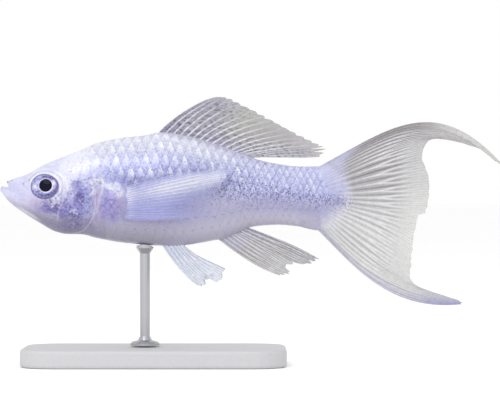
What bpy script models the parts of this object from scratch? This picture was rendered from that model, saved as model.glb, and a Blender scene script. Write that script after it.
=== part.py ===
"""A lyretail sailfin molly, life size and at rest, on a plain display stand.

The fish faces -X and swims level, with its long axis AXIS_HEIGHT above the floor. +Z is up.
The origin is on the floor, under the middle of the fish's whole length.
Places on the fish are pairs (s, h) in millimetres: s behind the tip of the lower jaw, h above the long axis.
"""

import math

import bmesh
import bpy
import numpy as np
from mathutils import Matrix, Vector

MM = 0.001

# Driving sizes, in millimetres
TOTAL_LENGTH = 110.0
AXIS_HEIGHT = 38.5
BODY_LENGTH = 76.8
GAP = 0.3

# The body's side view: back and belly lines as (s, h)
BACK = [
    (0.0, 0.37), (0.7, 1.07), (1.7, 1.92), (3.5, 2.77), (5.3, 3.32), (7.0, 4.12), (8.8, 5.22), (10.6, 6.07),
    (14.1, 7.52), (17.6, 8.82), (21.1, 10.27), (24.6, 11.12), (28.2, 11.67), (31.7, 12.02), (35.2, 12.72),
    (39.6, 12.07), (44.0, 11.02), (48.4, 9.62), (52.8, 7.97), (59.8, 6.02), (66.0, 5.22), (70.0, 5.37),
    (72.2, 5.02), (74.8, 3.12), (76.2, 0.82), (76.8, -0.98),
]
BELLY = [
    (0.0, -0.05), (0.7, -1.15), (1.8, -2.55), (3.5, -3.95), (5.3, -5.2), (8.8, -7.4), (12.3, -9.3),
    (14.6, -9.8), (18.0, -9.9), (21.1, -10.65), (26.4, -11.6), (33.4, -12.25), (37.0, -12.4), (40.5, -12.25),
    (44.0, -11.75), (47.5, -11.05), (51.0, -9.85), (54.6, -8.4), (58.0, -7.9), (61.6, -7.75), (65.1, -8.05),
    (68.6, -8.85), (70.6, -9.1), (73.7, -7.05), (75.9, -4.35), (76.8, -1.75),
]
# The body from above: half its width at s
HALF_WIDTH = [
    (0.0, 0.3), (0.3, 0.95), (0.8, 1.5), (1.8, 2.15), (3.5, 2.8), (6.0, 3.6), (10.0, 4.6), (14.0, 5.25),
    (18.0, 5.75), (22.0, 6.05), (28.0, 6.3), (34.0, 6.3), (40.0, 6.0), (46.0, 5.35), (52.0, 4.5), (58.0, 3.6),
    (64.0, 2.8), (70.0, 1.9), (74.0, 1.15), (76.8, 0.45),
]
# Where the body is widest, as a share of the height from belly to back, and how square it is above and below
WIDEST = [(0.0, 0.5), (4.0, 0.55), (10.0, 0.58), (20.0, 0.56), (40.0, 0.54), (60.0, 0.54), (76.8, 0.5)]
SQUARE_ABOVE = [(0.0, 2.1), (6.0, 2.6), (14.0, 2.5), (24.0, 2.1), (36.0, 1.8), (56.0, 1.9), (76.8, 2.0)]
SQUARE_BELOW = [(0.0, 2.1), (8.0, 2.0), (20.0, 2.1), (40.0, 2.2), (56.0, 1.9), (76.8, 2.0)]
RINGS = 42
RING_POINTS = 32

# Thin cuts across the body: the gill slit from nape to throat, and the start of the tail stalk
GILL_SLIT = [
    (20.6, 14.0), (21.4, 7.5), (21.9, 2.6), (22.1, -2.2), (21.5, -5.6), (20.2, -8.1), (18.4, -10.2),
    (16.6, -13.0),
]
TAIL_STALK_START = 55.6

# Cutting blocks end well outside the body: in front of it, behind it, below, above and at both sides
FAR_FRONT = -5.0
FAR_REAR = 82.0
FAR_DOWN = -16.0
FAR_UP = 16.0
FAR_SIDE = 20.0

# The mouth: its open front and its line back to the corner, above and below, then the hinge line to the throat
GAPE_ABOVE = [(1.0, 3.2), (1.35, 2.0), (1.6, 1.2), (2.15, 0.65), (4.1, -0.1)]
GAPE_BELOW = [(-1.0, 1.9), (0.7, 1.05), (1.35, 0.8), (2.1, 0.3), (4.0, -0.45)]
JAW_HINGE = [(4.0, -0.45), (5.3, -2.6), (6.4, -5.2), (7.0, -8.5)]
MOUTH_FRONT = -3.0
# Each lip: its line from the corner forwards, its front in the middle plane, and its distance from the line
UPPER_LIP = ([(4.3, 0.0), (3.4, 0.25), (2.5, 0.6), (1.95, 0.95)], (1.62, 1.5), 0.25)
LOWER_LIP = ([(3.5, -0.35), (2.6, 0.05), (1.8, 0.4), (1.2, 0.75)], (0.62, 0.8), -0.28)
LIP_RADIUS = 0.28
NOSTRILS = [(5.3, 2.35), (6.2, 2.75)]
NOSTRIL_RADIUS = 0.27

# Each gill cover is a plate in the head's side, a little proud of it, inside this outline
GILL_COVER = [
    (14.6, 1.6), (14.3, -1.2), (13.4, -4.2), (13.2, -7.0), (15.0, -8.9), (17.6, -9.0), (19.8, -7.3),
    (20.8, -4.9), (21.1, -2.2), (20.9, 0.6), (19.8, 2.7), (17.6, 3.4), (15.6, 3.0),
]
COVER_SPAN = (9.0, 26.0)
COVER_THICKNESS = 1.0
COVER_PROUD = 0.18
COVER_INNER = 1.2
COVER_RINGS = 16

EYE_AT = (10.0, 0.9)
EYE_RADII = (3.0, 1.45, 2.85)
EYE_OUT = 3.95
EYE_TURN = math.radians(11)
EYE_TILT = math.radians(7)

# The fleshy pad that each pectoral fin grows from
PAD_AT = (25.2, -3.3)
PAD_RADII = (2.7, 1.5, 3.7)
PAD_SUNK = 0.35

# Fin rays. Each key ray is its root, two bends and its tip; the rays between are blended from them.
DORSAL_KEYS = [
    [(34.5, 12.4), (36.7, 15.2), (44.1, 20.25), (47.9, 20.55)],
    [(39.2, 11.9), (42.2, 15.4), (46.4, 18.2), (50.6, 20.1)],
    [(45.1, 10.6), (48.8, 13.6), (53.5, 15.1), (57.9, 16.4)],
    [(50.2, 8.8), (53.5, 11.0), (58.5, 12.0), (64.1, 13.0)],
    [(53.2, 7.7), (56.8, 8.9), (63.4, 9.6), (69.8, 10.2)],
    [(54.1, 7.3), (58.3, 8.0), (64.9, 8.5), (71.9, 9.0)],
    [(55.0, 7.0), (58.5, 7.4), (64.9, 6.8), (70.4, 7.3)],
]
DORSAL_RAYS = 15

CAUDAL_KEYS = [
    [(70.4, 5.3), (85.4, 13.4), (95.7, 21.8), (110.0, 5.9)],
    [(71.1, 4.8), (85.1, 12.5), (94.4, 20.4), (109.7, 5.5)],
    [(71.5, 4.3), (84.5, 11.2), (93.3, 17.3), (105.4, 8.9)],
    [(72.3, 2.9), (82.1, 7.9), (89.1, 11.2), (96.1, 11.3)],
    [(73.0, 1.8), (81.4, 5.3), (88.0, 7.7), (94.0, 8.7)],
    [(74.1, -0.9), (82.5, -0.7), (88.4, 0.1), (94.6, 0.6)],
    [(74.1, -2.5), (82.1, -3.9), (87.6, -4.7), (93.8, -5.1)],
    [(73.5, -4.0), (81.2, -6.6), (86.5, -9.1), (91.3, -12.4)],
    [(72.6, -5.3), (79.6, -9.2), (85.4, -13.2), (90.6, -16.3)],
    [(71.7, -6.5), (77.4, -11.7), (84.5, -17.9), (91.5, -20.8)],
    [(70.4, -7.5), (77.0, -15.0), (85.6, -22.7), (101.0, -24.1)],
    [(69.5, -8.4), (77.7, -16.4), (85.4, -27.2), (102.1, -25.0)],
]
UPPER_LOBE_RAYS = 8
FAN_RAYS = 12
LOWER_LOBE_RAYS = 8
LOBE_PARTINGS = (0.34, 0.745)

ANAL_KEYS = [
    [(47.1, -10.1), (51.0, -13.2), (56.3, -17.3), (61.8, -18.9)],
    [(49.7, -9.5), (53.9, -12.9), (59.0, -15.8), (64.0, -18.4)],
    [(51.0, -9.0), (55.0, -11.7), (59.4, -14.1), (63.1, -16.6)],
    [(52.1, -8.6), (56.3, -11.0), (61.6, -13.2), (68.2, -16.3)],
    [(53.5, -7.7), (57.6, -9.5), (63.8, -11.3), (70.4, -15.3)],
]
ANAL_RAYS = 9

PELVIC_KEYS = [
    [(35.0, -11.0), (36.7, -13.6), (39.4, -18.0), (43.7, -21.0)],
    [(36.5, -11.0), (38.7, -14.5), (41.6, -18.3), (45.1, -21.1)],
    [(37.7, -11.0), (40.1, -14.5), (43.2, -17.5), (45.8, -19.6)],
    [(38.7, -11.0), (40.9, -14.5), (44.7, -17.5), (48.4, -20.1)],
    [(39.6, -11.0), (41.6, -14.2), (45.3, -15.3), (49.6, -17.4)],
]
PELVIC_RAYS = 7
PELVIC_ROOT_OUT = 1.5
PELVIC_LEAN = 0.34
PELVIC_TOP = -12.0

PECTORAL_KEYS = [
    [(25.4, 0.2), (32.8, 2.0), (40.5, 4.2), (47.7, 4.95)],
    [(26.2, -1.1), (34.6, 0.8), (42.7, 3.2), (50.8, 4.2)],
    [(26.8, -2.6), (34.8, -1.4), (42.0, -0.2), (48.9, 0.9)],
    [(27.0, -4.2), (34.4, -3.9), (41.0, -3.5), (47.2, -2.9)],
    [(26.6, -5.5), (34.2, -5.7), (40.4, -5.7), (46.4, -5.6)],
    [(25.8, -6.6), (32.4, -6.8), (38.2, -6.6), (43.8, -6.3)],
]
PECTORAL_RAYS = 11
PECTORAL_ROOT = (27.0, -3.0)
PECTORAL_OUT = 7.1
PECTORAL_FLARE = 0.05
PECTORAL_LEAN = 0.08

# Fin sections: half the membrane's thickness, how far a ray stands up on each face, how much of that it loses
# and keeps at its tip, half the thickness of a tip, and what the root adds over its share of the length
MEMBRANE_HALF = 0.25
RAY_RIDGE = 0.17
RIDGE_LOSS = 0.45
TIP_RIDGE = 0.4
TIP_HALF = 0.13
ROOT_EXTRA = 0.12
ROOT_SHARE = 1 / 3
# Between two rays the membrane has two lines of points: place in the gap, and how deep the notch is there
WEB_LINES = [(0.3, 0.7), (0.7, 1.0)]

# How far the fins bend to the fish's left, which is -Y
TAIL_SWEEP = 2.4
TAIL_SWEEP_FROM = 70.0
TAIL_SWEEP_OVER = 40.0
DORSAL_LEAN = 0.9
ANAL_LEAN = 0.7
ANAL_TOP = -9.0
LEAN_OVER = 10.0

# The display stand. The rod widens in a fillet at its foot, and at its top in a neck below a pad.
ROD_AT = 31.9
ROD_RADIUS = 1.1
ROD_FOOT_RADIUS = 3.2
ROD_FOOT_HEIGHT = 0.9
ROD_FOOT_FILLET = (0.5, 0.3, 1.2)
ROD_FOOT_BEVEL = 0.4
ROD_PAD_RADIUS = 1.9
ROD_PAD_DEPTH = (0.6, 1.8)
ROD_TRIM = 2.0
ROD_SIDES = 24
BASE_AT = 34.0
BASE_SIZE = (58.0, 32.0, 4.0)
BASE_CORNER = 8.0
BASE_EDGE = 0.7

SHARP_ANGLE = math.radians(35)
BEVEL_ANGLE = math.radians(40)


# Curves and places

def smooth_through(keys):
    """A function that runs smoothly through (place, value) keys and never swings past them."""
    at, value = np.array(keys, float).T
    width = np.diff(at)
    slope = np.diff(value) / width
    tangent = np.zeros(len(at))
    tangent[0], tangent[-1] = slope[0], slope[-1]
    for i in range(1, len(at) - 1):
        if slope[i - 1] * slope[i] > 0:
            tangent[i] = 2 * slope[i - 1] * slope[i] / (slope[i - 1] + slope[i])

    def curve(place):
        i = min(max(int(np.searchsorted(at, place)) - 1, 0), len(at) - 2)
        t = min(max((place - at[i]) / width[i], 0.0), 1.0)
        start = value[i] + t * t * (3 - 2 * t) * (value[i + 1] - value[i])
        lean_in = t * (1 - t) ** 2 * width[i] * tangent[i]
        lean_out = t * t * (1 - t) * width[i] * tangent[i + 1]
        return start + lean_in - lean_out

    return curve


def spline(points, at):
    """The point at 0 to 1 along a smooth curve through evenly counted points."""
    points = np.array(points, float)
    place = min(max(at, 0.0), 1.0) * (len(points) - 1)
    i = min(int(place), len(points) - 2)
    t = place - i
    before = points[i - 1] if i > 0 else 2 * points[0] - points[1]
    after = points[i + 2] if i + 2 < len(points) else 2 * points[-1] - points[-2]
    a, b = points[i], points[i + 1]
    return 0.5 * (
        2 * a + (b - before) * t + (2 * before - 5 * a + 4 * b - after) * t**2
        + (3 * a - before - 3 * b + after) * t**3
    )


def closed_outline(points, steps=3):
    """A smooth closed outline through the points."""
    count = len(points)
    ring = [points[-1], *points, points[0], points[1]]
    return [tuple(spline(ring, (1 + i / steps) / (count + 2))) for i in range(count * steps)]


def shifted(line, distance):
    """The line moved sideways, to the left of the way that it runs."""
    points = np.array(line, float)
    along = np.gradient(points, axis=0)
    sideways = np.stack([-along[:, 1], along[:, 0]], axis=1)
    sideways /= np.linalg.norm(sideways, axis=1)[:, None]
    return [tuple(p) for p in points + distance * sideways]


def place(s, y, h):
    """Metres in the part's frame, for millimetres on the fish."""
    return Vector((s - TOTAL_LENGTH / 2, y, h + AXIS_HEIGHT)) * MM


back_line = smooth_through(BACK)
belly_line = smooth_through(BELLY)
half_width = smooth_through(HALF_WIDTH)
widest = smooth_through(WIDEST)
square_above = smooth_through(SQUARE_ABOVE)
square_below = smooth_through(SQUARE_BELOW)


def section_point(s, angle, inset=0.0):
    """The (y, h) in the body's section at s: angle 0 is at the right flank, a quarter turn at the back."""
    top, bottom = back_line(s), belly_line(s)
    middle = bottom + widest(s) * (top - bottom)
    across, up = math.cos(angle), math.sin(angle)
    square = square_above(s) if up > 0 else square_below(s)
    height = (top - middle if up > 0 else middle - bottom) - inset
    y = (half_width(s) - inset) * math.copysign(abs(across) ** (2 / square), across)
    return y, middle + height * math.copysign(abs(up) ** (2 / square), up)


def flank(s, h):
    """How far the skin stands from the middle plane at (s, h)."""
    top, bottom = back_line(s), belly_line(s)
    middle = bottom + widest(s) * (top - bottom)
    height = top - middle if h > middle else middle - bottom
    square = square_above(s) if h > middle else square_below(s)
    return half_width(s) * max(0.0, 1 - (abs(h - middle) / height) ** square) ** (1 / square)


# Objects and the tools that join and cut them

def clear_scene():
    for obj in list(bpy.data.objects):
        bpy.data.objects.remove(obj)


def new_collection(name):
    made = bpy.data.collections.new(name)
    bpy.context.scene.collection.children.link(made)
    return made


def material(name, colour, roughness, metallic=0.0):
    made = bpy.data.materials.new(name)
    made.use_nodes = True
    shader = made.node_tree.nodes["Principled BSDF"]
    shader.inputs["Base Color"].default_value = (*colour, 1)
    shader.inputs["Roughness"].default_value = roughness
    shader.inputs["Metallic"].default_value = metallic
    made.diffuse_color = (*colour, 1)
    return made


def add_mesh(name, mesh, collection):
    obj = bpy.data.objects.new(name, mesh)
    collection.objects.link(obj)
    return obj


def mesh_from(name, build):
    """A mesh that build fills through a bmesh."""
    bm = bmesh.new()
    build(bm)
    bmesh.ops.recalc_face_normals(bm, faces=bm.faces)
    mesh = bpy.data.meshes.new(name)
    bm.to_mesh(mesh)
    bm.free()
    return mesh


def cutter(name, mesh):
    """A helper that cuts or joins and isn't part of the model."""
    obj = add_mesh(name, mesh, cutters)
    obj.hide_render = True
    obj.display_type = "WIRE"
    return obj


def boolean(obj, operation, other):
    modifier = obj.modifiers.new(f"{operation.lower()} {other.name}", "BOOLEAN")
    modifier.operation = operation
    modifier.object = other
    modifier.solver = "EXACT"
    return obj


def grown(obj, distance, name):
    """A helper of obj's shape, moved out by distance all over."""
    made = cutter(name, obj.data)
    made.matrix_world = obj.matrix_world
    modifier = made.modifiers.new("grow", "DISPLACE")
    modifier.mid_level = 0
    modifier.strength = distance * MM
    return made


def keep_largest(mesh):
    """Leaves only the mesh's largest closed surface."""
    bm = bmesh.new()
    bm.from_mesh(mesh)
    unseen = set(bm.verts)
    bodies = []
    while unseen:
        reached = [unseen.pop()]
        for vert in reached:
            for edge in vert.link_edges:
                other = edge.other_vert(vert)
                if other in unseen:
                    unseen.remove(other)
                    reached.append(other)
        bodies.append(reached)
    bodies.sort(key=len)
    for body in bodies[:-1]:
        bmesh.ops.delete(bm, geom=body, context="VERTS")
    bm.to_mesh(mesh)
    bm.free()


def settle(obj, smooth=True):
    """Applies obj's modifiers and keeps its one body."""
    bpy.context.view_layer.update()
    evaluated = obj.evaluated_get(bpy.context.evaluated_depsgraph_get())
    mesh = bpy.data.meshes.new_from_object(evaluated)
    obj.modifiers.clear()
    obj.data = mesh
    keep_largest(mesh)
    if smooth:
        mesh.shade_smooth()
        mesh.set_sharp_from_angle(angle=SHARP_ANGLE)
    return obj


def part(name, mesh, finish, *cuts, keep=None, joins=()):
    """A node: mesh kept inside keep, with cuts taken away and joins added."""
    obj = add_mesh(name, mesh.copy(), molly)
    obj.data.materials.clear()
    if keep:
        boolean(obj, "INTERSECT", keep)
    for cut in cuts:
        boolean(obj, "DIFFERENCE", cut)
    for join in joins:
        boolean(obj, "UNION", join)
    settle(obj)
    obj.data.materials.clear()
    obj.data.materials.append(finish)
    return obj


def prism(name, outline, low=-FAR_SIDE, high=FAR_SIDE):
    """An outline of (s, h) points, run across the fish from y low to y high."""

    def build(bm):
        face = bm.faces.new([bm.verts.new(place(s, low, h)) for s, h in outline])
        made = bmesh.ops.extrude_face_region(bm, geom=[face])
        verts = [v for v in made["geom"] if isinstance(v, bmesh.types.BMVert)]
        bmesh.ops.translate(bm, verts=verts, vec=Vector((0, (high - low) * MM, 0)))

    return cutter(name, mesh_from(name, build))


def ellipsoid(name, centre, radii, turn=0.0, tilt=0.0, segments=18, rings=9):
    """A ball at centre, a point on the fish, with its own half sizes along X, Y and Z."""

    def build(bm):
        bmesh.ops.create_uvsphere(bm, u_segments=segments, v_segments=rings, radius=1)
        bmesh.ops.rotate(bm, verts=bm.verts, matrix=Matrix.Rotation(math.pi / 2, 3, "X"))
        sizes = Matrix.Diagonal([r * MM for r in radii]).to_4x4()
        turned = Matrix.Rotation(turn, 4, "Z") @ Matrix.Rotation(tilt, 4, "X")
        bmesh.ops.transform(bm, verts=bm.verts, matrix=Matrix.Translation(place(*centre)) @ turned @ sizes)

    return mesh_from(name, build)


def tube(name, points, radius):
    """A round bar through the points, thickest halfway, with closed ends, as a mesh."""
    curve = bpy.data.curves.new(name, "CURVE")
    curve.dimensions = "3D"
    curve.bevel_depth = radius * MM
    curve.bevel_resolution = 1
    curve.use_fill_caps = True
    line = curve.splines.new("POLY")
    last = len(points) - 1
    line.points.add(last)
    for i, (point, at) in enumerate(zip(line.points, points)):
        point.co = (*place(*at), 1)
        point.radius = 0.35 + 0.65 * math.sin(math.pi * i / last) ** 0.7
    guide = add_mesh(name + "_line", curve, cutters)
    bpy.context.view_layer.update()
    mesh = bpy.data.meshes.new_from_object(guide.evaluated_get(bpy.context.evaluated_depsgraph_get()))
    bpy.data.objects.remove(guide)
    bm = bmesh.new()
    bm.from_mesh(mesh)
    bmesh.ops.remove_doubles(bm, verts=bm.verts, dist=0.01 * MM)
    bmesh.ops.recalc_face_normals(bm, faces=bm.faces)
    bm.to_mesh(mesh)
    bm.free()
    return cutter(name, mesh)


# The body

def body_mesh(start=0.0, end=BODY_LENGTH, count=RINGS, inset=0.0):
    """The body from start to end as one closed loft of rings, inset all round from the skin."""
    stations = [start + (end - start) * (1 - math.cos(math.pi * i / (count - 1))) / 2 for i in range(count)]
    angles = [2 * math.pi * (i + 0.5) / RING_POINTS for i in range(RING_POINTS)]

    def build(bm):
        rings = []
        for s in stations[1:-1]:
            points = [section_point(s, angle, inset) for angle in angles]
            rings.append([bm.verts.new(place(s, y, h)) for y, h in points])
        for ring, following in zip(rings, rings[1:]):
            for i in range(RING_POINTS):
                j = (i + 1) % RING_POINTS
                bm.faces.new((ring[i], ring[j], following[j], following[i]))
        for s, ring in ((stations[0], rings[0]), (stations[-1], rings[-1])):
            tip = bm.verts.new(place(s, 0, (back_line(s) + belly_line(s)) / 2))
            for i in range(RING_POINTS):
                bm.faces.new((ring[i], ring[(i + 1) % RING_POINTS], tip))

    return mesh_from("body", build)


def lip(name, shape):
    """A lip that follows the mouth line round the snout from corner to corner."""
    line, front, rise = shape
    side = [(s, flank(s, h + rise), h + rise) for s, h in line]
    across = [(front[0], 0.55 * side[-1][1], front[1]), (front[0] - 0.1, 0.0, front[1])]
    half = [(s, -y, h) for s, y, h in side + across]
    return tube(name, half + [(s, -y, h) for s, y, h in reversed(half[:-1])], LIP_RADIUS)


def on_both_sides(make):
    """make(label, side) for the left side, at -Y, and the right."""
    return [make("left", -1), make("right", 1)]


def build_flesh(body, skin, eye_finish):
    """Head, jaw, gill covers, eyes, trunk and tail stalk, parted by thin cuts."""
    slit = [tuple(spline(GILL_SLIT, i / 16)) for i in range(17)]
    head_region = prism("head_region", [*slit, (FAR_FRONT, FAR_DOWN), (FAR_FRONT, FAR_UP)])
    rear = TAIL_STALK_START
    trunk_region = prism("trunk_region", [*shifted(slit, GAP), (rear, FAR_DOWN), (rear, FAR_UP)])
    front = rear + GAP
    stalk_outline = [(front, FAR_UP), (FAR_REAR, FAR_UP), (FAR_REAR, FAR_DOWN), (front, FAR_DOWN)]
    stalk_region = prism("stalk_region", stalk_outline)
    throat = (MOUTH_FRONT, JAW_HINGE[-1][1])
    jaw_region = prism("jaw_region", [*GAPE_BELOW, *JAW_HINGE[1:], throat, (MOUTH_FRONT, GAPE_BELOW[0][1])])
    hinge = shifted(JAW_HINGE, GAP)
    mouth_cut = prism("mouth_cut", [*GAPE_ABOVE, *hinge, throat, (MOUTH_FRONT, GAPE_ABOVE[0][1])])

    over_covers = body_mesh(*COVER_SPAN, COVER_RINGS, -COVER_PROUD)
    under_covers = cutter("under_covers", body_mesh(*COVER_SPAN, COVER_RINGS, COVER_THICKNESS))
    under_pockets = cutter("under_pockets", body_mesh(*COVER_SPAN, COVER_RINGS, COVER_THICKNESS + GAP))
    outline = closed_outline(GILL_COVER)
    pocket_outline = shifted(outline, -GAP)

    def eye(label, side):
        centre = (EYE_AT[0], side * EYE_OUT, EYE_AT[1])
        turn, tilt = side * EYE_TURN, side * EYE_TILT
        mesh = ellipsoid("eye_" + label, centre, EYE_RADII, turn, tilt)
        part("eye_" + label, mesh, eye_finish)
        return cutter("socket_" + label, ellipsoid("socket", centre, [r + GAP for r in EYE_RADII], turn, tilt))

    def cover(label, side):
        window = prism("cover_window_" + label, outline, *sorted((side * COVER_INNER, side * FAR_SIDE)))
        part("gill_cover_" + label, over_covers, skin, under_covers, keep=window)
        pocket_sides = sorted((side * (COVER_INNER - GAP), side * FAR_SIDE))
        pocket = prism("cover_pocket_" + label, pocket_outline, *pocket_sides)
        return settle(boolean(pocket, "DIFFERENCE", under_pockets), smooth=False)

    def nostrils(label, side):
        made = []
        for i, (s, h) in enumerate(NOSTRILS):
            ball = ellipsoid("nostril", (s, side * flank(s, h), h), [NOSTRIL_RADIUS] * 3, segments=8, rings=5)
            made.append(cutter(f"nostril_{label}_{i}", ball))
        return made

    sockets = on_both_sides(eye)
    pockets = on_both_sides(cover)
    pits = sum(on_both_sides(nostrils), [])
    upper_lip = lip("upper_lip", UPPER_LIP)
    lower_lip = lip("lower_lip", LOWER_LIP)

    part("head", body.data, skin, mouth_cut, *sockets, *pockets, *pits, keep=head_region, joins=[upper_lip])
    part("lower_jaw", body.data, skin, keep=jaw_region, joins=[lower_lip])
    pads = on_both_sides(lambda label, side: cutter("pad_" + label, pad_mesh(side)))
    part("trunk", body.data, skin, keep=trunk_region, joins=pads)
    part("tail_stalk", body.data, skin, keep=stalk_region)
    return pads


def pad_mesh(side):
    s, h = PAD_AT
    return ellipsoid("pad", (s, side * (flank(s, h) - PAD_SUNK), h), PAD_RADII)


# The fins

def ray_point(keys, across, along):
    """The point 0 to 1 along the ray that stands 0 to 1 across the fin."""
    root, bend, turn, tip = (spline([key[i] for key in keys], across) for i in range(4))
    t = along
    return (1 - t) ** 3 * root + 3 * t * (1 - t) ** 2 * bend + 3 * t * t * (1 - t) * turn + t**3 * tip


def parted(keys, across, side):
    """For each place along a fin, how far across it a lobe may reach, half a gap from a parting line."""
    nearby = 0.02

    def limit(along):
        near, far = ray_point(keys, across - nearby, along), ray_point(keys, across + nearby, along)
        return across + side * GAP * nearby / np.linalg.norm(far - near)

    return limit


def fin_mesh(name, keys, rays, side_at, start=lambda at: 0.0, end=lambda at: 1.0, steps=8, notch=0.035):
    """A fin as one closed body: a membrane with a ridge along each ray on both faces.

    side_at(s, h) is y on its middle surface. start and end bound the share of the keys that it takes.
    """
    columns = []
    for ray in range(rays):
        columns.append((ray, 1.0, 0.0))
        if ray < rays - 1:
            columns += [(ray + place_in_gap, 0.0, setback) for place_in_gap, setback in WEB_LINES]
    grid = np.zeros((len(columns), steps + 1, 3))
    half = np.zeros((len(columns), steps + 1))
    for i, (at, ridge, setback) in enumerate(columns):
        for j in range(steps + 1):
            along = j / steps
            across = start(along) + (end(along) - start(along)) * at / (rays - 1)
            s, h = ray_point(keys, across, along * (1 - notch * setback))
            grid[i, j] = (s, side_at(s, h), h)
            taper = MEMBRANE_HALF + ridge * RAY_RIDGE * (1 - RIDGE_LOSS * along)
            taper += ROOT_EXTRA * max(0.0, 1 - along / ROOT_SHARE)
            half[i, j] = TIP_HALF + TIP_RIDGE * ridge * RAY_RIDGE if j == steps else taper
    normal = np.cross(np.gradient(grid, axis=0), np.gradient(grid, axis=1))
    normal /= np.linalg.norm(normal, axis=2)[:, :, None]

    def build(bm):
        faces = [
            [[bm.verts.new(place(*p)) for p in row] for row in grid + sign * half[:, :, None] * normal]
            for sign in (1, -1)
        ]
        last_i, last_j = len(columns) - 1, steps
        for over in faces:
            for i in range(last_i):
                for j in range(last_j):
                    a, b, c, d = over[i][j], over[i + 1][j], over[i + 1][j + 1], over[i][j + 1]
                    bm.faces.new((a, b, c))
                    bm.faces.new((a, c, d))
        rim = [(i, 0) for i in range(last_i)] + [(last_i, j) for j in range(last_j)]
        rim += [(i, last_j) for i in range(last_i, 0, -1)] + [(0, j) for j in range(last_j, 0, -1)]
        for (i, j), (k, m) in zip(rim, rim[1:] + rim[:1]):
            bm.faces.new((faces[0][i][j], faces[0][k][m], faces[1][k][m], faces[1][i][j]))

    return mesh_from(name, build)


def tail_side(s, h):
    """The tail sweeps a little to the left, most at the two long tips."""
    return -TAIL_SWEEP * max(0.0, (s - TAIL_SWEEP_FROM) / TAIL_SWEEP_OVER) ** 1.6


def dorsal_side(s, h):
    return -DORSAL_LEAN * (max(0.0, h - back_line(min(s, BODY_LENGTH))) / LEAN_OVER) ** 1.5


def anal_side(s, h):
    return ANAL_LEAN * (max(0.0, ANAL_TOP - h) / LEAN_OVER) ** 1.5


def build_fins(clear_of_body, pads, finish):
    def fin(name, mesh, *more_cuts):
        return part(name, mesh, finish, clear_of_body, *more_cuts)

    fin("dorsal_fin", fin_mesh("dorsal", DORSAL_KEYS, DORSAL_RAYS, dorsal_side, steps=7))
    fin("anal_fin", fin_mesh("anal", ANAL_KEYS, ANAL_RAYS, anal_side, steps=7))

    upper, lower = LOBE_PARTINGS
    lobes = [
        ("tail_fin_upper_lobe", UPPER_LOBE_RAYS, {"end": parted(CAUDAL_KEYS, upper, -1), "steps": 12}),
        ("tail_fin_fan", FAN_RAYS, {
            "start": parted(CAUDAL_KEYS, upper, 1), "end": parted(CAUDAL_KEYS, lower, -1), "steps": 7}),
        ("tail_fin_lower_lobe", LOWER_LOBE_RAYS, {"start": parted(CAUDAL_KEYS, lower, 1), "steps": 11}),
    ]
    for name, rays, bounds in lobes:
        fin(name, fin_mesh(name, CAUDAL_KEYS, rays, tail_side, **bounds))

    def pelvic(label, side):
        def side_at(s, h):
            return side * (PELVIC_ROOT_OUT + PELVIC_LEAN * (PELVIC_TOP - h))

        fin("pelvic_fin_" + label, fin_mesh("pelvic", PELVIC_KEYS, PELVIC_RAYS, side_at, steps=7))

    def pectoral(label, side):
        pad = grown(pads[(side + 1) // 2], GAP, "clear_of_pad_" + label)

        def side_at(s, h):
            flare = PECTORAL_FLARE * (s - PECTORAL_ROOT[0])
            return side * (PECTORAL_OUT + flare - PECTORAL_LEAN * max(0.0, h - PECTORAL_ROOT[1]))

        fin("pectoral_fin_" + label, fin_mesh("pectoral", PECTORAL_KEYS, PECTORAL_RAYS, side_at, steps=7), pad)

    on_both_sides(pelvic)
    on_both_sides(pectoral)


# The stand

def build_rod(clear_of_body, finish):
    """One round rod with a wide foot, and a wider top that is cut to the belly's shape."""
    foot = BASE_SIZE[2] + GAP - AXIS_HEIGHT
    foot_top = foot + ROD_FOOT_HEIGHT
    belly = belly_line(ROD_AT)
    edge, neck = ROD_PAD_DEPTH
    widening, fillet_low, fillet_high = ROD_FOOT_FILLET
    outer = [
        (0.0, belly + ROD_TRIM), (ROD_PAD_RADIUS, belly + ROD_TRIM), (ROD_PAD_RADIUS, belly - edge),
        (ROD_RADIUS, belly - neck), (ROD_RADIUS, foot_top + fillet_high),
        (ROD_RADIUS + widening, foot_top + fillet_low), (ROD_FOOT_RADIUS - ROD_FOOT_BEVEL, foot_top),
        (ROD_FOOT_RADIUS, foot_top - ROD_FOOT_BEVEL), (ROD_FOOT_RADIUS, foot), (0.0, foot),
    ]
    mesh = bpy.data.meshes.new("stand_rod")
    lines = [(i, i + 1) for i in range(len(outer) - 1)]
    mesh.from_pydata([Vector((r, 0, h)) * MM for r, h in outer], lines, [])
    rod = add_mesh("stand_rod", mesh, molly)
    rod.location = place(ROD_AT, 0, 0)
    screw = rod.modifiers.new("turn", "SCREW")
    screw.steps = screw.render_steps = ROD_SIDES
    screw.use_merge_vertices = True
    screw.merge_threshold = 0.01 * MM
    settle(rod)
    rod.data.transform(Matrix.Translation(rod.location))
    rod.location = (0, 0, 0)
    boolean(rod, "DIFFERENCE", clear_of_body)
    settle(rod)
    rod.data.materials.append(finish)


def build_base(finish):
    """A flat base with round corners and softened edges."""

    def slab(bm):
        bmesh.ops.create_cube(bm, size=1)
        bmesh.ops.scale(bm, verts=bm.verts, vec=Vector(BASE_SIZE) * MM)
        upright = [e for e in bm.edges if abs(e.verts[0].co.z - e.verts[1].co.z) > MM]
        bmesh.ops.bevel(bm, geom=upright, offset=BASE_CORNER * MM, segments=6, profile=0.5, affect="EDGES")

    base = add_mesh("stand_base", mesh_from("stand_base", slab), molly)
    base.location = place(BASE_AT, 0, BASE_SIZE[2] / 2 - AXIS_HEIGHT)
    bevel = base.modifiers.new("edges", "BEVEL")
    bevel.width = BASE_EDGE * MM
    bevel.segments = 2
    bevel.limit_method = "ANGLE"
    bevel.angle_limit = BEVEL_ANGLE
    base.data.materials.append(finish)


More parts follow.
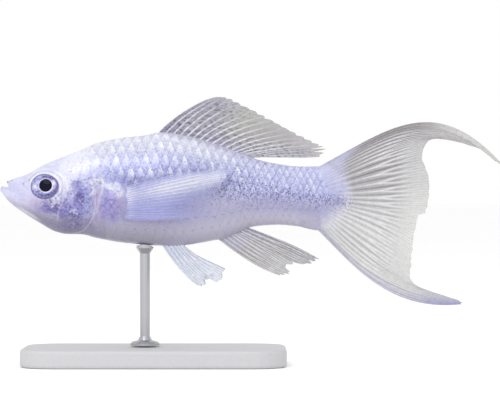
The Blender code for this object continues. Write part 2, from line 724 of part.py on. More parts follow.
clear_scene()
molly = new_collection("sailfin_molly")
cutters = new_collection("cutters")
flesh_finish = material("pearly_skin", (0.62, 0.62, 0.82), 0.38)
fin_finish = material("clear_fin", (0.72, 0.71, 0.74), 0.4)
eye_gloss = material("eye", (0.35, 0.35, 0.58), 0.08)
steel = material("satin_steel", (0.6, 0.6, 0.61), 0.3, 1.0)
stone = material("pale_base", (0.55, 0.55, 0.56), 0.6)

whole_body = cutter("whole_body", body_mesh())
fin_pads = build_flesh(whole_body, flesh_finish, eye_gloss)
around_body = grown(whole_body, GAP, "clear_of_body")
build_fins(around_body, fin_pads, fin_finish)
build_rod(around_body, steel)
build_base(stone)
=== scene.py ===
"""The look of the lyretail sailfin molly on its stand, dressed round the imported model.

Places on the fish are pairs (s, h) in millimetres: s behind the tip of the lower jaw, h above the long axis.
Round the body, u runs from 0 at the back to 1 at the belly, below 0 on the left side, which is -Y.
"""

import math

import bmesh
import bpy
import numpy as np
from mathutils import Matrix, Vector


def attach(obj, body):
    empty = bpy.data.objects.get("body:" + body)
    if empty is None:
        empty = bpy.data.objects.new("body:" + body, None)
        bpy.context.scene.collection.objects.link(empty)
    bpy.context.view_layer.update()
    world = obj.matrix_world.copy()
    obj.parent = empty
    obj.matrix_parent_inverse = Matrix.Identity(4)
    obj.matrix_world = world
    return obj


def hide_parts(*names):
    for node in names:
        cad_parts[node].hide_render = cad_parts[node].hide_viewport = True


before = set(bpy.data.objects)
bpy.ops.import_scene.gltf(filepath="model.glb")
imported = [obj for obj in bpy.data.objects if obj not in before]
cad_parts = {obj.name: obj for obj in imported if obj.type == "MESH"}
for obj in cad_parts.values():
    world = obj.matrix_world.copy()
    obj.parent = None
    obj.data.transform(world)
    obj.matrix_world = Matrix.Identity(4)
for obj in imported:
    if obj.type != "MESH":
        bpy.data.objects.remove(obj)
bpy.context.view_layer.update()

MM = 0.001
TOTAL_LENGTH = 110.0
AXIS_HEIGHT = 38.5
BODY_LENGTH = 76.8

# The body's side view as (s, h), half its width, and how full its sections are, as the solids have them
BACK = [
    (0.0, 0.37), (0.7, 1.07), (1.7, 1.92), (3.5, 2.77), (5.3, 3.32), (7.0, 4.12), (8.8, 5.22), (10.6, 6.07),
    (14.1, 7.52), (17.6, 8.82), (21.1, 10.27), (24.6, 11.12), (28.2, 11.67), (31.7, 12.02), (35.2, 12.72),
    (39.6, 12.07), (44.0, 11.02), (48.4, 9.62), (52.8, 7.97), (59.8, 6.02), (66.0, 5.22), (70.0, 5.37),
    (72.2, 5.02), (74.8, 3.12), (76.2, 0.82), (76.8, -0.98),
]
BELLY = [
    (0.0, -0.05), (0.7, -1.15), (1.8, -2.55), (3.5, -3.95), (5.3, -5.2), (8.8, -7.4), (12.3, -9.3),
    (14.6, -9.8), (18.0, -9.9), (21.1, -10.65), (26.4, -11.6), (33.4, -12.25), (37.0, -12.4),
    (40.5, -12.25), (44.0, -11.75), (47.5, -11.05), (51.0, -9.85), (54.6, -8.4), (58.0, -7.9),
    (61.6, -7.75), (65.1, -8.05), (68.6, -8.85), (70.6, -9.1), (73.7, -7.05), (75.9, -4.35), (76.8, -1.75),
]
HALF_WIDTH = [
    (0.0, 0.3), (0.3, 0.95), (0.8, 1.5), (1.8, 2.15), (3.5, 2.8), (6.0, 3.6), (10.0, 4.6), (14.0, 5.25),
    (18.0, 5.75), (22.0, 6.05), (28.0, 6.3), (34.0, 6.3), (40.0, 6.0), (46.0, 5.35), (52.0, 4.5),
    (58.0, 3.6), (64.0, 2.8), (70.0, 1.9), (74.0, 1.15), (76.8, 0.45),
]
WIDEST = [(0.0, 0.5), (4.0, 0.55), (10.0, 0.58), (20.0, 0.56), (40.0, 0.54), (60.0, 0.54), (76.8, 0.5)]
SQUARE_ABOVE = [(0.0, 2.1), (6.0, 2.6), (14.0, 2.5), (24.0, 2.1), (36.0, 1.8), (56.0, 1.9), (76.8, 2.0)]
SQUARE_BELOW = [(0.0, 2.1), (8.0, 2.0), (20.0, 2.1), (40.0, 2.2), (56.0, 1.9), (76.8, 2.0)]

# The skin's mesh: its depth under the solids, where the head ends, and the spacing of its rings
SKIN_DEPTH = 0.13
HEAD_END = 16.0
HEAD_RING_STEP = 0.1
BODY_RING_STEP = 0.25
RING_POINTS = 320

# The mouth's gape and the line back to its corner, and its lips
GAPE = [
    (-3.0, 3.2), (2.0, 3.2), (2.05, 2.1), (1.9, 1.75), (2.1, 1.1), (2.35, 0.45), (1.7, 0.3), (1.0, 0.6),
    (0.5, 0.56), (-1.0, 0.5), (-3.0, 0.5),
]
UPPER_LIP = [(3.9, 0.05), (3.1, 0.28), (2.42, 0.58), (2.12, 1.15), (1.88, 1.7)]
LOWER_LIP = [(3.9, -0.2), (3.1, 0.0), (2.35, 0.2), (1.5, 0.38), (0.72, 0.56)]
LIP_RADIUS = 0.24
LIP_SIDES = 14
NOSTRILS = [(5.4, 1.35), (6.6, 2.3)]

EYE_AT = (10.27, 0.77)
EYE_OPENING = (3.0, 2.56)
EYE_RADII = (3.5, 1.75, 3.0)
EYE_OUT = 3.62
EYE_TURN = math.radians(11)
EYE_TILT = math.radians(7)

# Lines in the head's side: the gill cover's free edge, the ridge in front of it, and the shoulder behind it
GILL_EDGE = [
    (19.2, 4.2), (20.5, 2.6), (21.0, 0.9), (21.3, -0.9), (21.3, -2.6), (21.2, -4.4), (20.9, -5.9),
    (20.1, -7.2), (19.0, -8.5), (17.9, -9.2), (15.7, -9.6),
]
CHEEK_RIDGE = [(15.7, 3.0), (15.3, 1.3), (14.8, -1.0), (13.9, -2.8), (13.1, -5.2), (12.9, -7.0), (14.0, -8.5)]
SHOULDER_RIDGE = [(23.2, 3.0), (22.9, 1.1), (22.5, -1.2), (21.9, -3.3), (21.3, -5.2), (20.5, -7.0)]
JAW_LINE = [(3.2, -3.2), (4.8, -4.2), (6.2, -5.0), (7.8, -6.0), (9.5, -7.2)]

PAD_AT = (25.2, -3.3)
PAD_RADII = (2.9, 3.9)
PAD_HEIGHT = 1.1

TAIL_SWEEP = 2.4
SCALE_ROWS = 10
SCALE_LIFT = 0.11
SCALE_THICKNESS = 0.05


# Numbers and curves

def ease(t):
    return t * t * (3 - 2 * t)


def step(low, high, x):
    """0 below low, 1 above high, smooth between."""
    return ease(np.clip((np.asarray(x, float) - low) / (high - low), 0, 1))


def fall(low, high, x):
    """1 below low, 0 above high, smooth between."""
    return 1 - step(low, high, x)


def window(low, full, ending, high, x):
    """0 outside low to high, 1 from full to ending, smooth between."""
    return step(low, full, x) * fall(ending, high, x)


def bump(x, centre, width):
    return np.exp(-(((np.asarray(x, float) - centre) / width) ** 2))


def oval(x, y, at, radii):
    """Distance from the middle of an oval, 1 at its edge."""
    return np.hypot((x - at[0]) / radii[0], (y - at[1]) / radii[1])


def patch(s, h, at, size, crisp=1.0):
    """1 in the middle of a soft patch, 0 well outside it."""
    return np.exp(-(oval(s, h, at, size) ** (2 * crisp)))


def patches(s, h, spots):
    """The sum of soft patches, each given by its strength, place and half widths."""
    return sum(share * patch(s, h, at, size) for share, at, size in spots)


def mix(a, b, share):
    return a + (b - a) * np.asarray(share)[..., None]


def layers(colour, *coats):
    """The colour with coats over it, each a colour and its share."""
    for shade, share in coats:
        colour = mix(colour, shade, share)
    return colour


def smooth_through(keys):
    """A function of arrays that runs smoothly through (place, value) keys and never swings past them."""
    at, value = np.array(keys, float).T
    width = np.diff(at)
    slope = np.diff(value) / width
    tangent = np.concatenate([slope[:1], np.zeros(len(at) - 2), slope[-1:]])
    rising = np.where(slope[:-1] * slope[1:] > 0)[0]
    tangent[rising + 1] = 2 * slope[rising] * slope[rising + 1] / (slope[rising] + slope[rising + 1])

    def curve(place):
        i = np.clip(np.searchsorted(at, place) - 1, 0, len(at) - 2)
        t = np.clip((place - at[i]) / width[i], 0, 1)
        start = value[i] + ease(t) * (value[i + 1] - value[i])
        return start + width[i] * (t * (1 - t) ** 2 * tangent[i] - t * t * (1 - t) * tangent[i + 1])

    return curve


def spline(points, at):
    """Points at 0 to 1 along a smooth curve through evenly counted points."""
    points = np.array(points, float)
    place = np.clip(np.asarray(at, float), 0, 1) * (len(points) - 1)
    i = np.minimum(place.astype(int), len(points) - 2)
    t = (place - i)[..., None]
    ends = np.concatenate([[2 * points[0] - points[1]], points, [2 * points[-1] - points[-2]]])
    before, a, b, after = ends[i], ends[i + 1], ends[i + 2], ends[i + 3]
    return 0.5 * (
        2 * a + (b - before) * t + (2 * before - 5 * a + 4 * b - after) * t**2
        + (3 * a - before - 3 * b + after) * t**3
    )


def line_distance(line, s, h, start, end):
    """How far (s, h) is from a line, above 0 on its left, and how plain the line is at the nearest place.

    It is wholly plain from start to end, as shares of its length, and fades out towards its ends.
    """
    line = spline(line, np.linspace(0, 1, 6 * len(line)))
    best = np.full(np.shape(s), 1e9)
    side = np.ones(np.shape(s))
    along = np.zeros(np.shape(s))
    for i, (a, b) in enumerate(zip(line, line[1:])):
        d = b - a
        t = np.clip(((s - a[0]) * d[0] + (h - a[1]) * d[1]) / (d @ d), 0, 1)
        away = np.hypot(s - a[0] - t * d[0], h - a[1] - t * d[1])
        nearer = away < best
        best = np.where(nearer, away, best)
        side = np.where(nearer, np.sign(d[0] * (h - a[1]) - d[1] * (s - a[0])), side)
        along = np.where(nearer, (i + t) / (len(line) - 1), along)
    return best * side, window(0.0, start, end, 1.0, along)


def wander(s, h, size, seed):
    """Smooth noise of -1 to 1 over (s, h), with features about size across."""
    table = np.random.default_rng(seed).uniform(-1, 1, (64, 64))
    x, y = np.asarray(s, float) / size, np.asarray(h, float) / size
    i, j = np.floor(x).astype(int), np.floor(y).astype(int)
    a, b = ease(x - i), ease(y - j)
    near = table[i % 64, j % 64] * (1 - a) + table[(i + 1) % 64, j % 64] * a
    far = table[i % 64, (j + 1) % 64] * (1 - a) + table[(i + 1) % 64, (j + 1) % 64] * a
    return near * (1 - b) + far * b


def unit(vectors):
    return vectors / np.maximum(np.linalg.norm(vectors, axis=-1, keepdims=True), 1e-9)


def circle(count):
    """Cosines and sines of evenly spaced angles."""
    angle = np.linspace(0, 2 * math.pi, count, endpoint=False)
    return np.cos(angle), np.sin(angle)


def place(points):
    """Metres in the row's frame for millimetres (s, y, h) on the fish."""
    return (np.asarray(points, float) - (TOTAL_LENGTH / 2, 0, -AXIS_HEIGHT)) * MM


# Colours, each 0 to 255 in red, green and blue, as seen in even light except where painted highlight and
# shade are laid in, as said where they are used
ALBEDO_SHARE = 0.78


def linear(*colour):
    """An sRGB colour of 0 to 255 as the linear albedo that looks like it in the studio's light."""
    c = np.array(colour) / 255
    return np.where(c <= 0.04045, c / 12.92, ((c + 0.055) / 1.055) ** 2.4) * ALBEDO_SHARE


SNOUT = linear(222, 222, 250)
BROW = linear(222, 226, 248)
CHEEK = linear(206, 203, 238)
JAW = linear(206, 198, 222)
THROAT = linear(143, 138, 160)
BACK_BLUE = linear(240, 241, 251)
FLANK = linear(178, 182, 230)
LOW_FLANK = linear(164, 162, 204)
BELLY_GREY = linear(168, 164, 184)
STALK_TOP = linear(207, 210, 245)
STALK_MID = linear(193, 196, 240)
STALK_DIM = linear(170, 167, 201)
STALK_LOW = linear(189, 185, 205)
GILL_PURPLE = linear(116, 109, 180)
GILL_BLUE = linear(142, 142, 212)
GILL_DEEP = linear(74, 66, 136)
GILL_GREY = linear(138, 131, 160)
GILL_TEAL = linear(158, 166, 218)
LIP_DARK = linear(112, 118, 128)
PAD_LILAC = linear(160, 152, 212)
ROSE = linear(186, 172, 208)
PALE_ROSE = linear(222, 214, 240)
WHITE = linear(250, 251, 255)
SMUDGE = linear(124, 124, 184)
FRECKLE = linear(98, 93, 134)
FIN_RAY = linear(240, 240, 243)
FIN_DARK = linear(132, 128, 150)
FIN_GREY = linear(172, 168, 171)
FIN_PALE = linear(223, 222, 219)
FIN_LILAC = linear(190, 190, 220)
FIN_DUSK = linear(134, 128, 131)
FIN_DEEP = linear(86, 82, 106)
FIN_SHADE = linear(118, 110, 146)
FIN_WHITE = linear(243, 242, 251)
FIN_OLIVE = linear(196, 197, 180)
FIN_SMOKE = linear(172, 168, 196)
FIN_BLUE = linear(164, 163, 210)
FIN_MIST = linear(184, 187, 246)
ROOT_LILAC = linear(198, 198, 232)
IRIS_DARK = linear(48, 38, 130)
IRIS_BASE = linear(172, 172, 220)
IRIS_LILAC = linear(126, 124, 200)
IRIS_PALE = linear(212, 213, 246)
PELVIC_LILAC = linear(204, 211, 240)
PELVIC_PALE = linear(220, 226, 240)
PECTORAL_WEB = linear(230, 232, 253)
PECTORAL_RAY = linear(208, 211, 251)
STAND_STEEL = linear(205, 206, 210)
STAND_STONE = linear(214, 214, 217)


# The body's surface

back_line = smooth_through(BACK)
belly_line = smooth_through(BELLY)
half_width = smooth_through(HALF_WIDTH)
widest = smooth_through(WIDEST)
square_above = smooth_through(SQUARE_ABOVE)
square_below = smooth_through(SQUARE_BELOW)


class Form:
    """A long form given by its side view and half width, cut in sections from back to belly."""

    STEPS = 96

    def __init__(self, back, belly, half, length):
        self.length = length
        self.stations = np.concatenate([np.linspace(0, 3, 90, endpoint=False), np.linspace(3, length, 500)])
        s = self.stations[:, None]
        angle = np.linspace(math.pi / 2, -math.pi / 2, 257)[None]
        top, bottom = back(s), belly(s)
        middle = bottom + widest(s) * (top - bottom)
        above = angle > 0
        square = np.where(above, square_above(s), square_below(s))
        height = np.where(above, top - middle, bottom - middle)
        y = half(s) * np.cos(angle).clip(0) ** (2 / square)
        h = middle + height * np.abs(np.sin(angle)) ** (2 / square)
        girth = np.cumsum(np.hypot(np.diff(y, axis=1), np.diff(h, axis=1)), axis=1)
        girth = np.concatenate([np.zeros((len(girth), 1)), girth], axis=1)
        even = np.linspace(0, 1, self.STEPS + 1)
        rows = [[np.interp(even, g / g[-1], side) for side in (a, b)] for g, a, b in zip(girth, y, h)]
        self.sections = np.array(rows).transpose(0, 2, 1)

    def at(self, s, u):
        """Points (s, y, h) on the form."""
        s, u = np.broadcast_arrays(np.asarray(s, float), np.asarray(u, float))
        u = (u + 1) % 2 - 1
        s = np.clip(s, 0, self.length)
        i = np.clip(np.searchsorted(self.stations, s) - 1, 0, len(self.stations) - 2)
        a = (s - self.stations[i]) / (self.stations[i + 1] - self.stations[i])
        place_u = np.abs(u) * self.STEPS
        j = np.minimum(place_u.astype(int), self.STEPS - 1)
        a, b = a[..., None], (place_u - j)[..., None]
        yh = (
            self.sections[i, j] * (1 - a) * (1 - b) + self.sections[i + 1, j] * a * (1 - b)
            + self.sections[i, j + 1] * (1 - a) * b + self.sections[i + 1, j + 1] * a * b
        )
        return np.stack([s, yh[..., 0] * np.where(u < 0, -1, 1), yh[..., 1]], axis=-1)

    def normal(self, s, u):
        along = self.at(np.minimum(s + 0.15, self.length), u) - self.at(np.maximum(s - 0.15, 0), u)
        around = self.at(s, u + 0.012) - self.at(s, u - 0.012)
        return unit(np.cross(along, around))


def half_at(s, h, top, bottom, half):
    """Half a form's width at (s, h), 0 outside its outline."""
    middle = bottom + widest(s) * (top - bottom)
    above = h > middle
    square = np.where(above, square_above(s), square_below(s))
    away = np.abs(h - middle) / np.where(above, top - middle, middle - bottom)
    return half * np.clip(1 - away**square, 0, 1) ** (1 / square)


body = Form(back_line, belly_line, half_width, BODY_LENGTH)

# The scaly coat follows the body, and near the tail it runs out over the fin's root
COAT_LENGTH = 86.0
COAT_BACK = [(70.2, 5.3), (74.0, 7.0), (80.0, 10.1), (86.0, 12.8)]
COAT_BELLY = [(69.5, -8.4), (74.0, -12.6), (80.0, -18.2), (86.0, -23.2)]
COAT_HALF = [(73.5, 1.4), (77.0, 0.8), (80.5, 0.3), (86.0, 0.02)]
coat_back = smooth_through([key for key in BACK if key[0] < 70] + COAT_BACK)
coat_belly = smooth_through([key for key in BELLY if key[0] < 68] + COAT_BELLY)
coat_half = smooth_through([key for key in HALF_WIDTH if key[0] < 71] + COAT_HALF)
coat = Form(coat_back, coat_belly, coat_half, COAT_LENGTH)


def tail_side(s):
    """How far the tail fin's middle surface has swung to the left."""
    return -TAIL_SWEEP * np.maximum(0.0, (s - 70.0) / 40.0) ** 1.6


def tail_flesh(s, h):
    """Half the thickness of the flesh under the coat over the tail fin's root."""
    depth = 0.12 + 0.6 * (1 - step(68.0, 71.0, s))
    return np.maximum(half_at(s, h, coat_back(s), coat_belly(s), coat_half(s)) - depth, 0.0)


def body_half(s, h):
    return half_at(s, h, back_line(s), belly_line(s), half_width(s))


def eye_share(s, h):
    """Distance from the eye's middle in side view, 1 at its edge."""
    return oval(s, h, EYE_AT, EYE_OPENING)


# Low ridges at the fins' roots: their reach along s, which way up, height, and place and width across
FIN_BASES = [
    ((34.5, 38.5, 54.5, 56.5), 1, 0.2, 0.0, 0.6),
    ((46.5, 49.0, 53.0, 55.0), -1, 0.2, 0.0, 0.6),
    ((35.0, 37.0, 39.5, 41.5), -1, 0.3, 1.4, 0.7),
]


def relief(points):
    """How far the skin stands out of its smooth form, in mm: rims, ridges, gill cover, fin bases and pits."""
    s, y, h = np.moveaxis(points, -1, 0)
    eye = eye_share(s, h)
    brow = step(-1.0, 1.6, h)
    out = (0.05 + 0.09 * brow) * bump(eye, 1.12, 0.08)
    out += brow * (0.03 * bump(eye, 1.42, 0.08) - 0.03 * bump(eye, 1.28, 0.07))

    edge, plain = line_distance(GILL_EDGE, s, h, 0.2, 0.9)
    plate = 0.15 * step(-0.15, 0.15, -edge) * bump(np.maximum(-edge, 0), 0.0, 2.6)
    out += plain * (plate - 0.1 * bump(edge, 0.25, 0.22))
    ridge, plain = line_distance(CHEEK_RIDGE, s, h, 0.15, 0.85)
    out += plain * (0.04 * bump(ridge, 0.0, 0.35) - 0.04 * bump(ridge, 0.5, 0.35))
    shoulder, plain = line_distance(SHOULDER_RIDGE, s, h, 0.3, 0.8)
    out += plain * 0.08 * bump(shoulder, 0.0, 0.3)

    pad = np.clip(oval(s, h, PAD_AT, PAD_RADII), 0, 1)
    out += PAD_HEIGHT * (0.5 + 0.5 * np.cos(math.pi * pad)) ** 0.75
    for centre in NOSTRILS:
        away = oval(s, h, centre, (1, 1))
        out += 0.07 * bump(away, 0.3, 0.12) - 0.3 * bump(away, 0.0, 0.15)
    for reach, side, height, centre, width in FIN_BASES:
        out += height * window(*reach, s) * step(0, 3, side * h) * bump(np.abs(y), centre, width)
    return out


# Markings, the same on skin and scales

# Soft patches on the flank: colour, strength, place (s, h) and half widths
PATCHES = [
    (SNOUT, 0.9, (2.0, -0.5), (6.5, 4.0)),
    # Whiter top of the head behind the brow: partly its own pale colour, partly painted highlight from the
    # light above
    (WHITE, 0.3, (18.5, 8.0), (6.0, 3.0)),
    (WHITE, 0.3, (14.8, 4.6), (4.0, 2.8)),
    (WHITE, 0.5, (14.4, 2.2), (2.6, 1.6)),
    (ROSE, 0.5, (8.6, -3.4), (2.6, 1.3)),
    (LOW_FLANK, 0.35, (23.0, 3.6), (2.2, 1.5)),
    (GILL_BLUE, 0.7, (28.4, 1.7), (3.4, 1.1)),
    # Dark under the throat: partly its own colour, partly painted shade on the underside
    (THROAT, 0.85, (15.5, -8.0), (5.5, 1.7)),
    (GILL_BLUE, 0.4, (15.9, 1.2), (1.5, 0.9)),
    (GILL_BLUE, 0.75, (17.6, -2.4), (3.0, 3.6)),
    (GILL_PURPLE, 0.9, (17.7, -2.1), (1.7, 2.5)),
    (GILL_DEEP, 0.8, (18.3, -1.9), (1.1, 1.4)),
    (GILL_BLUE, 0.6, (16.0, -4.4), (3.0, 1.6)),
    (GILL_PURPLE, 0.95, (14.5, -5.6), (1.2, 0.8)),
    (GILL_DEEP, 0.7, (16.4, -5.7), (1.3, 0.5)),
    (GILL_BLUE, 0.6, (12.6, -0.9), (1.5, 1.1)),
    (GILL_DEEP, 0.5, (12.0, -4.0), (2.4, 1.5)),
    (GILL_PURPLE, 0.95, (12.0, -4.0), (2.3, 1.4)),
    (GILL_DEEP, 0.4, (12.4, -4.4), (1.3, 0.8)),
    (GILL_GREY, 0.85, (16.3, -7.0), (3.2, 1.2)),
    (GILL_PURPLE, 0.4, (9.2, -3.9), (1.2, 0.9)),
    (CHEEK, 0.6, (15.9, -0.6), (0.9, 2.8)),
    (WHITE, 0.65, (14.9, 1.5), (1.5, 1.9)),
    (WHITE, 0.5, (21.0, 1.9), (0.7, 1.7)),
    (WHITE, 0.5, (19.2, 1.6), (0.7, 0.7)),
    (GILL_PURPLE, 0.4, (17.6, 1.2), (0.9, 0.5)),
    (WHITE, 0.75, (13.0, -1.9), (0.8, 0.8)),
    (WHITE, 0.45, (12.0, -2.9), (1.0, 0.6)),
    (ROSE, 0.6, (22.0, -4.0), (0.9, 4.2)),
    (PAD_LILAC, 0.95, (24.6, -3.7), (2.0, 3.2)),
    (ROSE, 0.6, (26.4, -3.4), (0.9, 2.0)),
    # White along the pectoral pad's upper margin: painted highlight on the raised pad's top
    (WHITE, 0.55, (24.8, 0.5), (2.3, 1.0)),
    (WHITE, 0.55, (26.5, -0.7), (1.0, 1.2)),
    (WHITE, 0.45, (22.3, 1.5), (1.2, 2.2)),
    (WHITE, 0.6, (20.9, -0.2), (0.5, 0.9)),
    (GILL_TEAL, 0.8, (19.9, -2.4), (0.7, 2.6)),
    (ROSE, 0.7, (22.0, -0.2), (0.45, 2.4)),
    # Two small white spots low on the gill cover: painted glints
    (WHITE, 0.9, (16.4, -5.0), (0.45, 0.25)),
    (WHITE, 0.8, (18.5, -5.1), (0.4, 0.2)),
    (STALK_LOW, 0.4, (49.0, -2.4), (3.5, 3.0)),
    (SMUDGE, 0.9, (27.4, 2.6), (0.8, 0.7)),
    (SMUDGE, 0.9, (29.6, 2.4), (0.8, 0.7)),
    (SMUDGE, 0.8, (31.6, 2.3), (0.7, 0.5)),
    (LIP_DARK, 0.95, (2.5, 2.2), (0.35, 0.26)),
    (LIP_DARK, 0.8, (1.8, 1.8), (0.25, 0.3)),
    (LIP_DARK, 0.75, (1.5, 0.8), (0.35, 0.2)),
    (LIP_DARK, 0.6, (0.4, 0.65), (0.25, 0.2)),
    # Dark in the front nostril's pit: painted shade
    (LIP_DARK, 0.3, (5.4, 1.35), (0.2, 0.15)),
]


# Pale lines, partly pale skin and partly painted highlight along the raised gill edge and cheek and shoulder
# ridges: line, colour, strength, how ragged, offset, width, and the share of each end that fades
LIGHT_LINES = [
    (GILL_EDGE, PALE_ROSE, 0.75, 0.0, -0.05, 0.15, 0.25),
    (CHEEK_RIDGE, WHITE, 0.3, 0.12, 0.0, 0.25, 0.4),
    (SHOULDER_RIDGE, WHITE, 0.35, 0.12, 0.0, 0.22, 0.4),
    (JAW_LINE, WHITE, 0.55, 0.12, 0.0, 0.35, 0.3),
]
LARGE_PATCH = 3.1
EYE_RAGGED = 0.12


def markings(s, h):
    """Linear colour on the body at (s, h)."""
    top, bottom = back_line(s), belly_line(s)
    rise = (h - bottom) / np.maximum(top - bottom, 0.5)
    head = fall(10, 26, s)

    def band(trunk, front, stalk, start, end):
        return mix(mix(trunk, front, head), stalk, step(start, end, s))

    # Lighter on the back and darker on the belly and throat: partly the fish's own colours, partly painted
    # highlight and shade for the light from above
    colour = layers(
        band(BELLY_GREY, THROAT, STALK_LOW, 32, 48),
        (band(LOW_FLANK, JAW, STALK_DIM, 36, 50), step(0.1, 0.32, rise)),
        (band(FLANK, CHEEK, STALK_MID, 42, 58), step(0.34, 0.6, rise)),
        (band(BACK_BLUE, BROW, STALK_TOP, 42, 58), step(0.68, 0.95, rise)),
    )
    calm = step(4.0, 11.0, s)
    off_s = calm * (0.6 * wander(s, h, 1.3, 31) + 0.45 * wander(s, h, 0.6, 32))
    off_h = calm * (0.6 * wander(s, h, 1.3, 33) + 0.45 * wander(s, h, 0.6, 34))
    flecks = calm * mottle(s, h) * (0.9 * wander(s, h, 0.5, 35) + 0.8 * wander(s, h, 0.24, 36))
    for shade, share, at, size in PATCHES:
        spot = patch(s + off_s, h + off_h, at, size, 1.0 if size[0] > LARGE_PATCH else 1.7)
        colour = mix(colour, shade, np.clip(share * spot * (1 + flecks), 0, 1))
    for line, shade, share, ragged, offset, width, fade in LIGHT_LINES:
        away, plain = line_distance(line, s + ragged * off_s, h + ragged * off_h, fade, 1 - fade)
        colour = mix(colour, shade, share * plain * bump(away, offset, width))
    s, h = s + EYE_RAGGED * off_s, h + EYE_RAGGED * off_h
    eye = eye_share(s, h)
    # White rings round the eye, stronger on the brow side above it: partly the pale orbital rim, partly
    # painted highlight on its raised upper side
    brow = step(-1.5, 1.5, h - 0.4 * (10 - s))
    ring = 0.9 * bump(eye, 1.14, 0.1) * (0.15 + 0.85 * brow) + brow * 0.4 * bump(eye, 1.45, 0.1)
    return layers(colour, (WHITE, np.clip(ring, 0, 1)), (GILL_BLUE, 0.25 * brow * bump(eye, 1.3, 0.06)))


# Where the skin is freckled and where mottled: strength, place (s, h) and half widths
FRECKLED = [
    (0.5, (17.5, -2.6), (2.2, 3.0)),
    (0.4, (25.0, 3.5), (4.0, 2.2)),
    (0.45, (34.0, 4.4), (6.0, 1.2)),
    (0.4, (37.5, -6.9), (6.5, 0.9)),
]
MOTTLED = [
    (1.0, (17.3, -3.4), (3.2, 3.4)),
    (0.8, (11.8, -3.2), (2.2, 2.0)),
    (0.6, (20.5, 2.5), (3.5, 2.2)),
    (0.5, (24.5, -3.0), (2.4, 3.4)),
    (0.45, (16.0, -7.4), (3.5, 1.3)),
]


def freckles(s, h):
    """How thickly the dark specks lie at (s, h), 0 to 1."""
    stalk = window(38, 47, 75, 80, s) * bump(h, -0.1 - 0.12 * (s - 54), 3.7 - 0.06 * (s - 50))
    flank = 0.3 * window(20, 30, 66, 76, s) * step(0.0, 4.0, h)
    return np.clip(stalk + flank + patches(s, h, FRECKLED), 0, 1)


def mottle(s, h):
    """How strongly the dark flecks and the white flecks, which are painted glints, of the gill region show at
    (s, h), 0 to 1.
    """
    return np.clip(0.12 + patches(s, h, MOTTLED), 0, 1)


# Meshes and objects

def new_object(name, data, *finishes):
    obj = bpy.data.objects.new(name, data)
    bpy.context.scene.collection.objects.link(obj)
    for finish in finishes:
        data.materials.append(finish)
    return obj


def mesh_of(name, points, faces):
    """A closed mesh of points in millimetres on the fish, shaded smooth, with its faces turned outward."""
    mesh = bpy.data.meshes.new(name)
    mesh.from_pydata(place(points).tolist(), [], faces)
    mesh.validate()
    mesh.shade_smooth()
    bm = bmesh.new()
    bm.from_mesh(mesh)
    bmesh.ops.recalc_face_normals(bm, faces=bm.faces)
    bm.to_mesh(mesh)
    bm.free()
    return mesh


def keep_values(mesh, name, values):
    """Stores a number or a linear colour for each point of the mesh."""
    if np.ndim(values) == 1:
        made = mesh.attributes.new(name, "FLOAT", "POINT")
        made.data.foreach_set("value", np.asarray(values, np.float32))
    else:
        made = mesh.color_attributes.new(name, "FLOAT_COLOR", "POINT")
        full = np.concatenate([values, np.ones((len(values), 1))], axis=1)
        made.data.foreach_set("color", full.astype(np.float32).ravel())


def keep_map(mesh, name, per_point):
    """A UV map with one place for each point of the mesh."""
    corners = np.empty(len(mesh.loops), np.int32)
    mesh.loops.foreach_get("vertex_index", corners)
    layer = mesh.uv_layers.new(name=name)
    layer.data.foreach_set("uv", np.asarray(per_point, np.float32)[corners].ravel())


def side_view(mesh):
    """s and h of the mesh's points."""
    flat = np.empty(len(mesh.vertices) * 3, np.float32)
    mesh.vertices.foreach_get("co", flat)
    s, _, h = (flat.reshape(-1, 3) / MM + (TOTAL_LENGTH / 2, 0, -AXIS_HEIGHT)).T
    return s, h


def twice(grid):
    """What is given for a grid of points, for its upper and then its lower face."""
    flat = grid.reshape(-1, *grid.shape[2:])
    return np.concatenate([flat, flat])


def grid_faces(rows, columns, offset=0, wrap=False):
    """Faces of a grid of points that are counted along each row first."""
    faces = []
    for i in range(rows - 1):
        for j in range(columns if wrap else columns - 1):
            k = (j + 1) % columns
            corners = ((i, j), (i, k), (i + 1, k), (i + 1, j))
            faces.append(tuple(offset + row * columns + column for row, column in corners))
    return faces


def boolean(obj, operation, other):
    modifier = obj.modifiers.new(operation.lower(), "BOOLEAN")
    modifier.operation = operation
    modifier.object = other
    modifier.solver = "EXACT"


def apply_modifiers(obj):
    bpy.context.view_layer.update()
    mesh = bpy.data.meshes.new_from_object(obj.evaluated_get(bpy.context.evaluated_depsgraph_get()))
    obj.modifiers.clear()
    obj.data = mesh


def capped_rings(name, points, front=None, rear=None):
    """A closed mesh of rings. front and rear are a point to close an end to, or None for a flat end."""
    count, around = points.shape[:2]
    flat = points.reshape(-1, 3)
    faces = grid_faces(count, around, wrap=True)
    for tip, first in ((front, 0), (rear, (count - 1) * around)):
        ring = list(range(first, first + around))
        if tip is None:
            faces.append(tuple(ring))
        else:
            flat = np.concatenate([flat, [tip]])
            faces += [(a, b, len(flat) - 1) for a, b in zip(ring, ring[1:] + ring[:1])]
    return mesh_of(name, flat, faces)


def tube_mesh(name, line, radii, sides):
    """A closed bar through the points of line, with a radius at each."""
    along = unit(np.gradient(line, axis=0))
    out = unit(np.cross(along, np.cross(line - line.mean(axis=0), along)))
    third = np.cross(along, out)
    cos, sin = (values[None, :, None] for values in circle(sides))
    ring = cos * out[:, None] + sin * third[:, None]
    return capped_rings(name, line[:, None] + radii[:, None, None] * ring)


def prism(name, outline, near, far):
    """An outline of (s, h) points run across the fish from y near to y far, as a cutter."""
    return capped_rings(name, np.array([[(s, y, h) for s, h in outline] for y in (near, far)]))


# Materials

